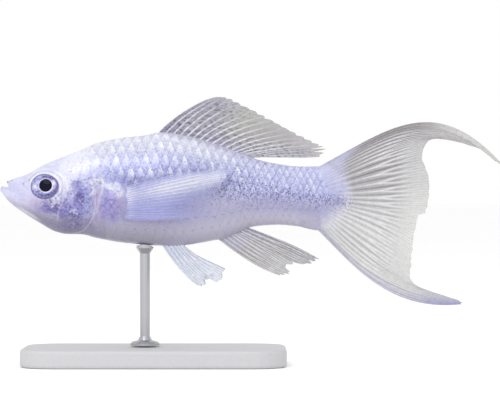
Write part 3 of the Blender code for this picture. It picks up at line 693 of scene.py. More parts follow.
class Nodes:
    """A short way to write a material's nodes."""

    def __init__(self, name):
        self.material = bpy.data.materials.new(name)
        self.material.use_nodes = True
        self.tree = self.material.node_tree
        self.shader = self.tree.nodes["Principled BSDF"]
        self.where = self.add("TexCoord").outputs["Object"]

    def add(self, kind, inputs=(), **settings):
        node = self.tree.nodes.new("ShaderNode" + kind)
        for key, value in settings.items():
            setattr(node, key, value)
        for key, value in dict(inputs).items():
            self.feed(node.inputs[key], value)
        return node

    def feed(self, socket, value):
        if isinstance(value, bpy.types.NodeSocket):
            self.tree.links.new(value, socket)
        else:
            socket.default_value = value

    def set(self, **values):
        """Feeds the shader's inputs, named with an underscore for each space."""
        for key, value in values.items():
            self.feed(self.shader.inputs[key.replace("_", " ")], value)

    def attribute(self, name, output="Fac"):
        return self.add("Attribute", attribute_name=name).outputs[output]

    def noise(self, scale, detail, rough, vector=None):
        inputs = {"Vector": vector or self.where, "Scale": scale, "Detail": detail, "Roughness": rough}
        return self.add("TexNoise", inputs).outputs["Fac"]

    def math(self, operation, *values):
        return self.add("Math", enumerate(values), operation=operation).outputs[0]

    def span(self, value, low, high, to_low=0.0, to_high=1.0):
        inputs = {"Value": value, "From Min": low, "From Max": high, "To Min": to_low, "To Max": to_high}
        return self.add("MapRange", inputs).outputs[0]

    def blend(self, share, a, b, mode="MIX"):
        return self.add("Mix", {0: share, 6: a, 7: b}, data_type="RGBA", blend_type=mode).outputs[2]

    def flecks(self, under, shade, value, low, high, most=1.0, share=None, mode="MIX"):
        """A colour with another over it where a value goes from low to high, up to most, and by share."""
        strength = self.span(value, low, high, 0.0, most)
        if share:
            strength = self.math("MULTIPLY", strength, share)
        return self.blend(strength, under, rgba(shade), mode)

    def rise(self, height, strength, distance):
        """Makes the surface look raised by a value."""
        inputs = {"Height": height, "Strength": strength, "Distance": distance}
        self.set(Normal=self.add("Bump", inputs).outputs["Normal"])


def rgba(colour):
    return (*colour, 1)


# Specks: noise scale, level where sparse, how far it falls where thick, soft edge, strength, colour
SPECKS = [(2100.0, 0.66, 0.2, 0.16, 0.7, SMUDGE), (2950.0, 0.725, 0.17, 0.05, 0.95, FRECKLE)]


def speckled(nodes, colour):
    """Colour with soft dim blotches and small dark cores, as thick as the freckle value says."""
    thick = nodes.attribute("freckle")
    for scale, sparse, gain, soft, strength, shade in SPECKS:
        level = nodes.math("MULTIPLY_ADD", thick, -gain, sparse)
        above = nodes.math("SUBTRACT", nodes.noise(scale, 2.0, 0.55), level)
        colour = nodes.flecks(colour, shade, above, 0.0, soft, strength)
    return colour


def skin_finish():
    nodes = Nodes("fish_skin")
    marked = nodes.attribute("mottle")
    cloud = nodes.noise(420.0, 5.0, 0.6)
    shade = nodes.flecks(nodes.attribute("tint", "Color"), LOW_FLANK, cloud, 0.35, 0.7, 0.2, mode="MULTIPLY")
    shade = nodes.flecks(shade, GILL_PURPLE, nodes.noise(900.0, 5.0, 0.65), 0.45, 0.6, 0.5, marked)
    shade = nodes.flecks(shade, GILL_DEEP, nodes.noise(1800.0, 5.0, 0.7), 0.5, 0.6, 0.8, marked)
    # White flecks in the mottled gill region: painted glints
    moved = nodes.add("Mapping", {"Vector": nodes.where, "Location": (3.1, 1.7, 0.4)}).outputs[0]
    shade = nodes.flecks(shade, WHITE, nodes.noise(2100.0, 4.0, 0.65, moved), 0.6, 0.7, 0.5, marked)
    nodes.set(Base_Color=speckled(nodes, shade), Roughness=nodes.span(cloud, 0.3, 0.7, 0.45, 0.33))
    nodes.set(Metallic=0.05, Coat_Weight=0.15, Coat_Roughness=0.2)
    nodes.rise(nodes.noise(3200.0, 3.0, 0.5), 0.3, 0.00005)
    return nodes.material


def scale_finish():
    """A pearly scale: lilac grain and white flecks that are painted glints, finely ringed."""
    nodes = Nodes("fish_scale")
    grain = nodes.noise(1900.0, 4.0, 0.65)
    grain_and_glints = nodes.attribute("grain_and_glints")
    # White flecks: painted glints, stronger on the upper body
    shade = nodes.flecks(nodes.attribute("tint", "Color"), WHITE, grain, 0.5, 0.7, 0.35, grain_and_glints)
    shade = nodes.flecks(shade, FLANK, grain, 0.48, 0.3, 0.5, grain_and_glints, "MULTIPLY")
    nodes.set(Base_Color=speckled(nodes, shade), Roughness=0.33, Metallic=0.08)
    nodes.set(Coat_Weight=0.2, Coat_Roughness=0.15)
    middle = nodes.add("UVMap", uv_map="scale").outputs[0]
    wave = {"Vector": middle, "Scale": 5.5}
    rings = nodes.add("TexWave", wave, wave_type="RINGS", rings_direction="SPHERICAL").outputs["Fac"]
    nodes.rise(rings, 0.25, 0.00003)
    return nodes.material


def fin_finish():
    """Clear membrane between pale jointed rays."""
    nodes = Nodes("fin")
    grain = nodes.noise(1300.0, 4.0, 0.6)
    shade = nodes.flecks(nodes.attribute("tint", "Color"), FIN_DARK, grain, 0.35, 0.75, 0.22, mode="MULTIPLY")
    along = nodes.add("UVMap", uv_map="along").outputs[0]
    stretched = nodes.add("Mapping", {"Vector": along, "Scale": (1.0, 0.65, 1.0)}).outputs[0]
    spots = nodes.noise(1.9, 3.0, 0.6, stretched)
    shade = nodes.flecks(shade, FIN_DEEP, spots, 0.48, 0.6, share=nodes.attribute("dapple"))
    wave = {"Vector": along, "Scale": JOINT_SCALE, "Distortion": 1.5, "Detail": 1.0, "Detail Scale": 3.0}
    joints = nodes.add("TexWave", wave, bands_direction="Y").outputs["Fac"]
    joint = nodes.math("MULTIPLY", nodes.span(joints, 0.4, 0.0), nodes.attribute("ray"))
    shade = nodes.blend(nodes.math("MULTIPLY", joint, 0.4), shade, rgba(FIN_GREY))
    nodes.set(Base_Color=speckled(nodes, shade), Roughness=0.45, Coat_Weight=0.1)
    nodes.set(Alpha=nodes.attribute("solid"))
    nodes.rise(nodes.math("SUBTRACT", nodes.math("MULTIPLY", grain, 0.4), joint), 0.5, 0.00005)
    return nodes.material


def wet(nodes, weight):
    """The clear wet front of the eye."""
    nodes.set(Coat_Weight=weight, Coat_Roughness=0.04, Coat_IOR=1.25)
    return nodes.material


def iris_finish():
    nodes = Nodes("iris")
    grain = nodes.noise(2600.0, 4.0, 0.7)
    shade = nodes.flecks(nodes.attribute("tint", "Color"), IRIS_PALE, grain, 0.5, 0.7, 0.35)
    shade = nodes.flecks(shade, IRIS_DARK, grain, 0.52, 0.32, 0.65)
    nodes.set(Base_Color=shade, Roughness=0.45, Metallic=0.05)
    return wet(nodes, 0.5)


def pupil_finish():
    nodes = Nodes("pupil")
    shade = nodes.blend(nodes.noise(5000.0, 2.0, 0.5), (0.006, 0.005, 0.014, 1), (0.012, 0.01, 0.024, 1))
    nodes.set(Base_Color=shade, Roughness=0.5, Specular_IOR_Level=0.0)
    return wet(nodes, 0.25)


def plain_finish(name, colour, roughness, metallic, scale, change, rise):
    """A solid finish with grain of a scale, which changes its colour and gloss a little and raises it."""
    nodes = Nodes(name)
    grain = nodes.noise(scale, 4.0, 0.6)
    nodes.set(Base_Color=nodes.blend(grain, rgba(colour), rgba(colour * (1 - change))), Metallic=metallic)
    nodes.set(Roughness=nodes.span(grain, 0.2, 0.8, roughness - 0.05, roughness + 0.08))
    nodes.rise(grain, rise, 0.00005)
    return nodes.material


# The skin

TIPS = [(s, 0.0, (back_line(s) + belly_line(s)) / 2) for s in (0.0, BODY_LENGTH)]
GAPE_ACROSS = (-12.0, 12.0)
SOCKETS_ACROSS = [(-8.0, -2.2), (2.2, 8.0)]
SEAM_REACH = 0.5
SEAM_WELD = 0.002
SKIN_SHARP = math.radians(55)


def skin_rings():
    head = np.concatenate([[0.02, 0.06, 0.12, 0.2], np.arange(0.3, HEAD_END, HEAD_RING_STEP), [HEAD_END]])
    count = int((BODY_LENGTH - 0.2 - HEAD_END) / BODY_RING_STEP)
    body = np.linspace(HEAD_END, BODY_LENGTH - 0.2, count)[1:]
    return head, np.concatenate([body, BODY_LENGTH - np.array([0.14, 0.08, 0.03])])


def skin_points(rings):
    """The skin's points on these rings."""
    u = (np.arange(RING_POINTS) + 0.5) / RING_POINTS * 2 - 1
    s, u = np.meshgrid(rings, u, indexing="ij")
    points = body.at(s, u)
    depth = SKIN_DEPTH * step(0.0, 0.5, s) * (1 - step(BODY_LENGTH - 0.5, BODY_LENGTH, s) * 0.5)
    return points + body.normal(s, u) * (relief(points) - depth)[..., None]


def lip_mesh(name, line):
    """A lip from one corner of the mouth round the snout to the other."""
    side = spline(line, np.linspace(0, 1, 24))
    y = body_half(side[:, 0], side[:, 1]) - SKIN_DEPTH - 0.05
    half = np.stack([side[:, 0], -y, side[:, 1]], axis=1)
    s, y, h = half[-1]
    front = [(s, y, h), (s - 0.1, 0.5 * y, h + 0.05), (s - 0.14, 0.0, h + 0.06)]
    half = np.concatenate([half, spline(front, np.linspace(0, 1, 14)[1:])])
    whole = np.concatenate([half, half[-2::-1] * (1, -1, 1)])
    share = np.linspace(0, 1, len(whole))
    return tube_mesh(name, whole, LIP_RADIUS * (0.25 + 0.75 * np.sin(math.pi * share) ** 0.45), LIP_SIDES)


def build_head(rings):
    """The head's skin, with mouth and sockets cut and lips joined on."""
    head = new_object("skin_head", capped_rings("skin_head", skin_points(rings), TIPS[0]))
    opening = np.stack(circle(128), axis=1) * EYE_OPENING + EYE_AT
    cuts = [prism("gape", GAPE, *GAPE_ACROSS)]
    cuts += [prism("socket", opening, *across) for across in SOCKETS_ACROSS]
    lips = [lip_mesh("upper_lip", UPPER_LIP), lip_mesh("lower_lip", LOWER_LIP)]
    helpers = [new_object(mesh.name, mesh) for mesh in cuts + lips]
    for helper in helpers:
        boolean(head, "UNION" if helper.data in lips else "DIFFERENCE", helper)
    apply_modifiers(head)
    for helper in helpers:
        bpy.data.objects.remove(helper)
    return head


def build_skin(finish):
    """One skin from snout to tail root."""
    head_rings, body_rings = skin_rings()
    head = build_head(head_rings)
    rear = capped_rings("skin_body", skin_points(np.concatenate([[HEAD_END], body_rings])), None, TIPS[1])
    bm = bmesh.new()
    bm.from_mesh(head.data)
    bm.from_mesh(rear)
    seam = place((HEAD_END, 0, 0))[0]

    def near(v):
        return abs(v.co.x - seam) < SEAM_REACH * MM

    caps = [f for f in bm.faces if len(f.verts) > 20 and all(map(near, f.verts))]
    bmesh.ops.delete(bm, geom=caps, context="FACES_ONLY")
    bmesh.ops.remove_doubles(bm, verts=list(filter(near, bm.verts)), dist=SEAM_WELD * MM)
    mesh = bpy.data.meshes.new("fish_skin")
    bm.to_mesh(mesh)
    bm.free()
    bpy.data.objects.remove(head)
    mesh.shade_smooth()
    mesh.set_sharp_from_angle(angle=SKIN_SHARP)
    for name, value in (("tint", markings), ("freckle", freckles), ("mottle", mottle)):
        keep_values(mesh, name, value(*side_view(mesh)))
    skin = new_object("fish_skin", mesh, finish)
    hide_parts("head", "lower_jaw", "gill_cover_left", "gill_cover_right", "trunk", "tail_stalk")
    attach(skin, "root")


# The scales

COAT_SPLIT_AT = 47.0
SCALE_SEED = 7
SCALE_COLUMNS = 20
SCALE_STEPS = 12
SCALE_BANDS = 1.08
BAKE_PATCH = 0.003
SCALE_PITCH = [(13.0, 2.1), (30.0, 2.15), (45.0, 1.98), (55.0, 1.72), (65.0, 1.5), (78.0, 1.25)]
SCALE_STATIONS = np.linspace(13.0, 78.0, 500)
scale_pitch = smooth_through(SCALE_PITCH)
SCALE_TURNS = np.concatenate([[0], np.cumsum(np.diff(SCALE_STATIONS) / scale_pitch(SCALE_STATIONS[1:]))])

# What a scale's shade, the painted shade on its lower part and the painted shadow at its rim leave of red,
# green and blue
SCALE_SHADE = np.array([0.77, 0.775, 0.84])
SCALE_LOWER_PAINTED_SHADE = np.array([0.8, 0.81, 0.93])
SCALE_RIM_PAINTED_SHADOW = np.array([0.66, 0.67, 0.8])


def scale_places():
    """(s, u, pitch) for each scale's hind tip, row by row from the back round."""
    places = []
    for row in range(-SCALE_ROWS, SCALE_ROWS):
        turn = 0.5 if row % 2 else 0.0
        while turn < SCALE_TURNS[-1]:
            s = float(np.interp(turn, SCALE_TURNS, SCALE_STATIONS))
            places.append((s, row / SCALE_ROWS, float(scale_pitch(s))))
            turn += 1
    return places


def scaled(s, h):
    """True where scales grow: behind the gill slit, off the fin pads, and on the nape."""
    nape = s > 15.5 and h > float(back_line(s)) - 3.2 - 0.3 * (s - 14)
    behind_gill = s > 24.2 + 0.1 * abs(h + 1)
    on_pad = oval(s - 1.0, h, PAD_AT, (PAD_RADII[0] + 1.2, PAD_RADII[1] + 0.5)) < 1
    return (nape or behind_gill) and not on_pad and s < 77.0 - 0.12 * (h + 1.3) ** 2


def coat_strength(s, h):
    """How plainly the scales stand out, 0 to 1: weak on the nape and behind the gills."""
    return 0.05 + 0.95 * step(14.5, 24, s) * step(21, 30, s + 1.3 * np.maximum(h - 2.5, 0))


def coat_end(start, s, h):
    """0 on the body, 1 where the coat has run out round the tail fin's root."""
    return step(start, 75.5, s + 0.1 * (h + 1.3) ** 2)


def scale_grid(s, u, pitch, random):
    """One scale's upper and lower points, v across it, t from root to hind edge, and how near the edge is."""
    v, t = np.meshgrid(np.linspace(-1, 1, SCALE_COLUMNS + 1), 1 - np.linspace(1, 0, SCALE_STEPS + 1) ** 1.7)
    size = 1 + 0.035 * random.normal()
    hind = s - 0.52 * pitch * (np.sqrt(v**2 + 0.06) - 0.245) / 0.785
    root = s - 1.75 * pitch * size * (0.78 + 0.22 * (1 - v**2))
    local_s = root + (hind - root) * t
    width = (1 - 0.25 * (1 - t) ** 2) * SCALE_BANDS / SCALE_ROWS * size
    local_u = u + width * v + 0.03 / SCALE_ROWS * random.normal() * (t - 0.5)
    smooth = coat.at(local_s, local_u)
    normal = coat.normal(local_s, local_u)
    local_h = smooth[..., 2]
    flat = (1 - 0.8 * step(0.52, 0.75, abs(u))) * coat_strength(s, local_h)
    flat *= 1 - 0.9 * coat_end(70.0, s, local_h)
    lift = flat * (SCALE_LIFT * t * (1 - 0.06 * v**2) + 0.015 * np.sin(math.pi * t) * (1 - v**2))
    height = relief(smooth) - SKIN_DEPTH + lift - 0.04 * (1 - t) + 0.02
    upper = smooth + normal * height[..., None]
    upper[..., 1] += tail_side(upper[..., 0])
    lower = upper - normal * (SCALE_THICKNESS * (0.4 + 0.6 * flat))[..., None]
    return upper, lower, v, t, (hind - local_s) / pitch


def scale_colours(points, w, edge, tone):
    """Linear colours over one scale: the body's markings, a white streak above that is partly pearly white
    and partly painted highlight, and lilac painted shade below, inside its hind edge, with a painted shadow
    along that edge.

    w runs across the scale from -1 towards the back to 1 towards the belly.
    """
    s, h = points[..., 0], points[..., 2]
    upper = step(-2.5, 3.5, h + 0.04 * (s - 30))
    ending = coat_end(70.5, s, h)
    strong = upper * coat_strength(s, h) * (1 - 0.9 * ending)
    stalk = step(45, 56, s)
    tone = 1 + (tone - 1) * (1 - 0.5 * stalk)
    plain = 0.08 + 0.5 * stalk
    # A white streak on the upper side inside the hind edge: partly pearly white, partly painted highlight
    # where the raised edge meets the light from above
    bright = window(0.0, 0.16, 0.2, 0.92, edge) * (plain + (1 - plain) * bump(w, -0.4, 0.42))
    # Painted shade on the lower side inside the hind edge
    dim = window(0.0, 0.16, 0.3, 0.8, edge) * step(-0.2, 0.35, w)
    low = fall(3.0, 8.0, h) * (1 - 0.7 * step(44, 60, s))
    white = np.clip((0.5 - 0.08 * low - 0.05 * stalk) * strong * bright * tone, 0, 1)
    # Painted shadow in the gap along the hind edge
    rim = fall(0.0, 0.08 + 0.08 * stalk, edge) * (0.3 + 0.7 * upper) * coat_strength(s, h) * (1 - ending)
    base = markings(s, h)
    base = mix(base, base * SCALE_SHADE, strong * (0.75 + 0.25 * low))
    base = mix(base, base * SCALE_LOWER_PAINTED_SHADE, 0.9 * strong * dim)
    base = mix(base, WHITE, white)
    base = mix(base, base * SCALE_RIM_PAINTED_SHADOW, (0.35 + 0.45 * stalk) * rim)
    return mix(base, ROOT_LILAC, 0.5 * ending)


def rim_of(rows, columns):
    """The points round the edge of a grid, in order."""
    rim = list(range(columns)) + [(i + 1) * columns - 1 for i in range(1, rows)]
    rim += [(rows - 1) * columns + j for j in range(columns - 2, -1, -1)]
    return rim + [i * columns for i in range(rows - 2, 0, -1)]


def slab_faces(rows, columns, start=0):
    """Faces of a thin closed slab: an upper grid of points, then a lower one."""
    low = start + rows * columns
    rim = rim_of(rows, columns)
    faces = grid_faces(rows, columns, start) + grid_faces(rows, columns, low)
    return faces + [(start + a, start + b, low + b, low + a) for a, b in zip(rim, rim[1:] + rim[:1])]


def build_scales(finish):
    """Overlapping scales as joined meshes, one piece for each side and half of the body."""
    random = np.random.default_rng(SCALE_SEED)
    groups = {}
    for s, u, pitch in scale_places():
        if scaled(s, float(coat.at(s, u)[2])):
            side = "left" if u < 0 else "right"
            half = "front" if s < COAT_SPLIT_AT else "rear"
            groups.setdefault(f"scales_{side}_{half}", []).append((s, u, pitch))
    columns, rows = SCALE_COLUMNS + 1, SCALE_STEPS + 1
    for name, members in groups.items():
        points, faces, tints, maps, bakes = [], [], [], [], []
        for index, (s, u, pitch) in enumerate(members):
            upper, lower, v, t, edge = scale_grid(s, u, pitch, random)
            points += [upper.reshape(-1, 3), lower.reshape(-1, 3)]
            faces += slab_faces(rows, columns, index * 2 * rows * columns)
            tints.append(twice(scale_colours(upper, v if u > 0 else -v, edge, 1 + 0.45 * random.normal())))
            maps.append(twice(np.stack([v, 1.1 - t], axis=-1)))
            patch_at = (s / 80, 0.5 + 0.49 * u)
            bakes.append(twice(patch_at + BAKE_PATCH / 2 * np.stack([2 * t - 1, v], axis=-1)))
        mesh = mesh_of(name, np.concatenate(points), faces)
        keep_map(mesh, "scale", np.concatenate(maps))
        keep_map(mesh, "OFBake", np.concatenate(bakes))
        s, h = side_view(mesh)
        keep_values(mesh, "tint", np.concatenate(tints))
        keep_values(mesh, "freckle", freckles(s, h))
        # How strongly the grain and the painted glints show: more on the upper body
        keep_values(mesh, "grain_and_glints", 0.15 + 0.85 * step(-5.0, 2.5, h))
        piece = new_object(name, mesh, finish)
        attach(piece, "root")


# Fin rays: each key ray is its root, two bends and its tip

DORSAL_KEYS = [
    [(34.7, 12.4), (36.8, 15.2), (44.0, 20.2), (48.0, 20.45)],
    [(39.2, 11.9), (42.2, 15.4), (46.4, 18.2), (50.6, 20.1)],
    [(45.1, 10.6), (48.8, 13.6), (53.5, 15.1), (57.9, 16.4)],
    [(50.2, 8.8), (53.5, 11.0), (58.5, 12.0), (64.1, 13.0)],
    [(53.2, 7.7), (56.8, 8.9), (63.4, 9.6), (69.9, 10.2)],
    [(54.1, 7.3), (58.3, 8.0), (64.9, 8.5), (71.9, 9.0)],
    [(55.0, 7.0), (58.5, 7.4), (64.9, 6.8), (70.4, 7.3)],
]
CAUDAL_KEYS = [
    [(70.4, 5.3), (85.4, 13.4), (95.7, 21.8), (110.0, 5.9)],
    [(71.1, 4.8), (85.1, 12.5), (94.4, 20.4), (109.7, 5.5)],
    [(71.5, 4.3), (84.5, 11.2), (93.3, 17.3), (105.4, 8.9)],
    [(72.3, 2.9), (82.1, 7.9), (89.1, 11.2), (96.1, 11.3)],
    [(73.0, 1.8), (81.4, 5.3), (88.0, 7.7), (94.0, 8.7)],
    [(74.1, -0.9), (82.5, -0.7), (88.4, 0.1), (94.6, 0.6)],
    [(74.1, -2.5), (82.1, -3.9), (87.6, -4.7), (93.8, -5.1)],
    [(73.5, -4.0), (81.2, -6.6), (86.5, -9.1), (91.3, -12.4)],
    [(72.6, -5.3), (79.6, -9.2), (85.4, -13.2), (90.6, -16.3)],
    [(71.7, -6.5), (77.4, -11.7), (84.5, -17.9), (91.5, -20.8)],
    [(70.4, -7.5), (77.0, -15.0), (85.6, -22.7), (101.0, -24.1)],
    [(69.5, -8.4), (77.7, -16.4), (85.4, -27.2), (102.1, -25.0)],
]
ANAL_KEYS = [
    [(47.1, -10.1), (51.0, -13.2), (56.3, -17.3), (61.8, -18.9)],
    [(49.7, -9.5), (53.9, -12.9), (59.0, -15.8), (64.0, -18.4)],
    [(51.0, -9.0), (55.0, -11.7), (59.4, -14.1), (63.1, -16.6)],
    [(52.1, -8.6), (56.3, -11.0), (61.6, -13.2), (68.2, -16.3)],
    [(53.5, -7.7), (57.6, -9.5), (63.8, -11.3), (70.4, -15.3)],
]
PELVIC_KEYS = [
    [(35.0, -11.0), (36.7, -13.6), (39.4, -18.0), (43.7, -21.0)],
    [(36.5, -11.0), (38.7, -14.5), (41.6, -18.3), (45.1, -21.1)],
    [(37.7, -11.0), (40.1, -14.5), (43.2, -17.5), (45.8, -19.6)],
    [(38.7, -11.0), (40.9, -14.5), (44.7, -17.5), (48.4, -20.1)],
    [(39.6, -11.0), (41.6, -14.2), (45.3, -15.3), (49.6, -17.4)],
]
PECTORAL_KEYS = [
    [(25.4, 0.2), (32.8, 2.0), (40.5, 4.2), (47.7, 4.95)],
    [(26.2, -1.1), (34.6, 0.8), (42.7, 3.2), (50.8, 4.2)],
    [(26.8, -2.6), (34.8, -1.4), (42.0, -0.2), (48.9, 0.9)],
    [(27.0, -4.2), (34.4, -3.9), (41.0, -3.5), (47.2, -2.9)],
    [(26.6, -5.5), (34.2, -5.7), (40.4, -5.7), (46.4, -5.6)],
    [(25.8, -6.6), (32.4, -6.8), (38.2, -6.6), (43.8, -6.3)],
]
DORSAL_LEAN = 0.9
ANAL_LEAN = 0.7
PELVIC_ROOT_OUT = 1.5
PELVIC_LEAN = 0.34
pectoral_rise = smooth_through([
    (24.0, -1.2), (27.9, -0.45), (28.7, 0.05), (29.7, 0.3), (31.5, 0.65), (35.0, 1.15), (51.0, 1.95),
])
WEB_HALF = 0.05
RAY_COLUMNS = 16
JOINT_SCALE = 0.62


def ray_points(keys, across, along):
    """Points 0 to 1 along the rays that stand 0 to 1 across the fin."""
    root, bend, turn, tip = (spline([key[i] for key in keys], across) for i in range(4))
    t = along[..., None]
    return (1 - t) ** 3 * root + 3 * t * (1 - t) ** 2 * bend + 3 * t * t * (1 - t) * turn + t**3 * tip


def ray_spread(keys, number):
    """Where across the keys each ray stands: half by the keys' count, half by the fin's width."""
    sample = np.linspace(0, 1, 400)
    middle = ray_points(keys, sample, np.full(400, 0.6))
    width = np.concatenate([[0], np.cumsum(np.hypot(*np.diff(middle, axis=0).T))])
    return np.interp(number, 0.5 * width / width[-1] + 0.5 * sample, sample)


def ray_ridge(offset, along, width, forks):
    """How much of a ray each point is, 0 to 1, where a ray forks at two places on its way."""
    first = step(forks[0], forks[0] + 0.3, along)
    second = step(forks[1], forks[1] + 0.25, along)
    width = np.minimum(width, 0.3 - 0.14 * first - 0.07 * second) * (1 - 0.25 * first)
    branches = [bump(offset, a * first + b * second, width) for a in (-0.25, 0.25) for b in (-0.125, 0.125)]
    return np.max(branches, axis=0)


def fin_mesh(name, keys, rays, rows, side_at, paint, seed, forks=(0.35, 0.7), width=0.2, radius=0.14,
             notch=0.02, ragged=0.01, splits=(), ripple=0.1, start=-0.03, spaced=(0.1, 0.5), root_half=None,
             edge=None):
    """A fin as one closed body: thin web, forked rays raised on both faces, uneven edge, root in the flesh.

    side_at(s, h) is its middle surface. paint gives its colour, how solid it is and how dappled. splits maps
    the gap before a ray to how deep the web is torn there. Rays closer than spaced fade into the web.
    """
    random = np.random.default_rng(seed)
    number = np.linspace(0, rays - 1, (rays - 1) * RAY_COLUMNS + 1)
    across = ray_spread(keys, number / (rays - 1))
    nearest = np.round(number)
    lengths = 1 - ragged * random.random(rays)
    gap = np.minimum(number.astype(int), rays - 2)
    depth = np.array([dict(splits).get(int(g), notch) for g in gap])
    depth *= 1 + 0.3 * random.normal(size=rays)[gap]
    reach = np.interp(number, np.arange(rays), lengths) - depth * (2 * np.abs(number - nearest)) ** 1.5
    reach -= 0.4 * ragged * random.random(len(number))
    if edge:
        reach *= edge(across)
    along = np.linspace(start, 1, rows) * reach[:, None]
    number, across, nearest = (np.repeat(row[:, None], rows, axis=1) for row in (number, across, nearest))
    flat = ray_points(keys, across, along)
    s, h = flat[..., 0], flat[..., 1]
    spacing = np.linalg.norm(np.gradient(flat, axis=0), axis=2) * RAY_COLUMNS
    ridge = ray_ridge(number - nearest, along, width / np.maximum(spacing, 0.05), forks)
    ridge *= step(*spaced, spacing)
    out = along.clip(0)
    wave = ripple * np.sin(across * 16 + 5 * along) * out**2
    middle = np.stack([s, side_at(s, h) + wave, h], axis=-1)
    normal = unit(np.cross(np.gradient(middle, axis=0), np.gradient(middle, axis=1)))
    half = WEB_HALF * (1 - 0.3 * out) + ridge * radius * (1 - 0.6 * out)
    half[:, -1] *= 0.5
    if root_half:
        half += root_half(s, h)
    points = np.concatenate([(middle + side * normal * half[..., None]).reshape(-1, 3) for side in (1, -1)])
    mesh = mesh_of(name, points, slab_faces(*s.shape))
    steps = np.linalg.norm(np.diff(middle, axis=1, prepend=middle[:, :1]), axis=2)
    length = np.cumsum(steps, axis=1) + 0.2 * np.sin(7 * nearest)
    keep_map(mesh, "along", twice(np.stack([number, length], axis=-1)))
    tint, solid, dapple = paint(s, h, across, out, ridge, number)
    values = {
        "tint": tint, "solid": np.clip(solid, 0, 1), "dapple": dapple * (1 - 0.7 * ridge),
        "ray": ridge * (1 - 0.75 * step(0.25, 0.8, along)), "freckle": freckles(s, h) * step(70.0, 72.0, s),
    }
    for value_name, value in values.items():
        keep_values(mesh, value_name, twice(value))
    return mesh


def paint_dorsal(s, h, across, along, ridge, number):
    front = fall(0.1, 0.5, across)
    smoky = np.clip(0.75 * fall(0.04, 0.35, along) + 0.6 * front, 0, 1) * (1 - 0.4 * step(0.85, 1.0, across))
    web = layers(
        FIN_GREY,
        (FIN_OLIVE, patch(s, h, (53, 16.5), (7, 4))),
        (FIN_SMOKE, smoky),
        (FIN_SHADE, 0.5 * fall(0.0, 0.4, across) * fall(0.3, 0.9, along)),
        (FIN_PALE, 0.35 * patch(s, h, (42, 14.5), (3, 2.0))),
        (FIN_PALE, 0.3 * step(0.35, 0.75, across)),
        (FIN_LILAC, 0.35 * step(0.6, 0.95, across) * fall(0.5, 1.0, along)),
        (FIN_WHITE, np.clip(1.3 * ridge, 0, 1) * (1 - 0.75 * step(0.3, 0.85, along))),
    )
    dapple = 0.3 * front + 0.65 * window(0.02, 0.08, 0.3, 0.8, along)
    dapple += 0.7 * bump(along, 0.8, 0.15) * bump(across, 0.2, 0.13)
    dapple += 0.6 * step(0.4, 0.8, across) * fall(0.7, 1.0, along)
    return web, 0.8 + 0.2 * ridge - 0.2 * step(0.6, 1, along), np.clip(dapple, 0, 1)


CAUDAL_RAYS = 28
# For each gap between rays: how dark the painted shade in its fold is, how far out it reaches, and where in
# the gap it lies
caudal_gaps = np.random.default_rng(12).random((3, CAUDAL_RAYS))

# How far the tail fin's edge reaches along its rays, by the place across it: two worn places
tail_edge = smooth_through([
    (0.0, 1.0), (0.3, 1.0), (0.38, 0.94), (0.43, 0.995), (0.545, 1.0), (0.553, 0.92), (0.6, 0.94),
    (0.66, 0.99), (1.0, 1.0),
])


def paint_caudal(s, h, across, along, ridge, number):
    gap = np.minimum(number.astype(int), CAUDAL_RAYS - 2)
    depth, reach, shift = caudal_gaps[:, gap]
    fold = number - gap
    deepest = 0.3 + 0.35 * shift
    # Painted shade in the fold of the pleated web between each two rays, darkest partway across the gap
    painted_fold_shade = np.where(fold < deepest, fold / deepest, (1 - fold) / (1 - deepest)) ** 1.8
    upper = fall(0.35, 0.65, across)
    lobe = fall(0.1, 0.24, across)
    low_lobe = step(0.8, 0.97, across)
    fan = bump(across, 0.6, 0.25)
    outer = step(0.5, 0.95, along)
    under_lobe = bump(across, 0.18, 0.08) * window(0.08, 0.2, 0.65, 0.85, along)
    ending = 0.35 + 0.35 * reach
    # How dark the painted fold shade is, and how far out it reaches
    dark = (0.3 + 0.9 * depth**1.5) * (0.5 + 0.5 * upper) * window(0.1, 0.25, ending, ending + 0.3, along)
    threads = bump(fold, 5 / 16, 0.07) + bump(fold, 11 / 16, 0.07)
    strong = (0.9 - 0.6 * lobe - 0.3 * low_lobe) * (1 - 0.5 * outer)
    strong *= 1 - 0.45 * upper * fall(0.15, 0.45, along)
    blue = 0.45 * step(0.9, 1.0, across) + 0.55 * low_lobe * step(0.68, 0.95, along)
    tint = layers(
        FIN_LILAC,
        (FIN_GREY, step(0.08, 0.2 + 0.15 * (lobe + low_lobe), along)),
        (FIN_PALE, (1 - upper) * (0.65 + 0.3 * step(0.1, 0.4, along))),
        (FIN_DUSK, 0.5 * upper * (1 - lobe) * window(0.08, 0.2, 0.5, 0.8, along)),
        (FIN_DUSK, 0.45 * under_lobe),
        (FIN_DUSK, np.clip((dark + 0.8 * under_lobe) * painted_fold_shade, 0, 1)),
        (FIN_PALE, outer * fan),
        (FIN_DUSK, 0.7 * lobe * window(0.15, 0.35, 0.5, 0.8, along)),
        (FIN_PALE, lobe * step(0.5, 0.85, along)),
        (FIN_RAY, 0.45 * threads * (1 - lobe) * step(0.08, 0.25, along) * (1 - outer)),
        (FIN_RAY, strong * ridge),
        (FIN_BLUE, np.clip(blue, 0, 0.9)),
    )
    root = fall(72.5, 78.5, s + 0.11 * (h + 1.3) ** 2)
    lines = bump(np.minimum(fold, 1 - fold), 0.0, 0.17)
    flesh = markings(np.minimum(s, 74.0), np.clip(h, -7.0, 4.5)) * (0.86 + 0.24 * lines[..., None])
    solid = 0.78 + 0.22 * ridge - 0.4 * fan * outer + root
    return mix(tint, (flesh + ROOT_LILAC) / 2, root), solid, 0.4 * root * bump(h, -2.0, 3.0)


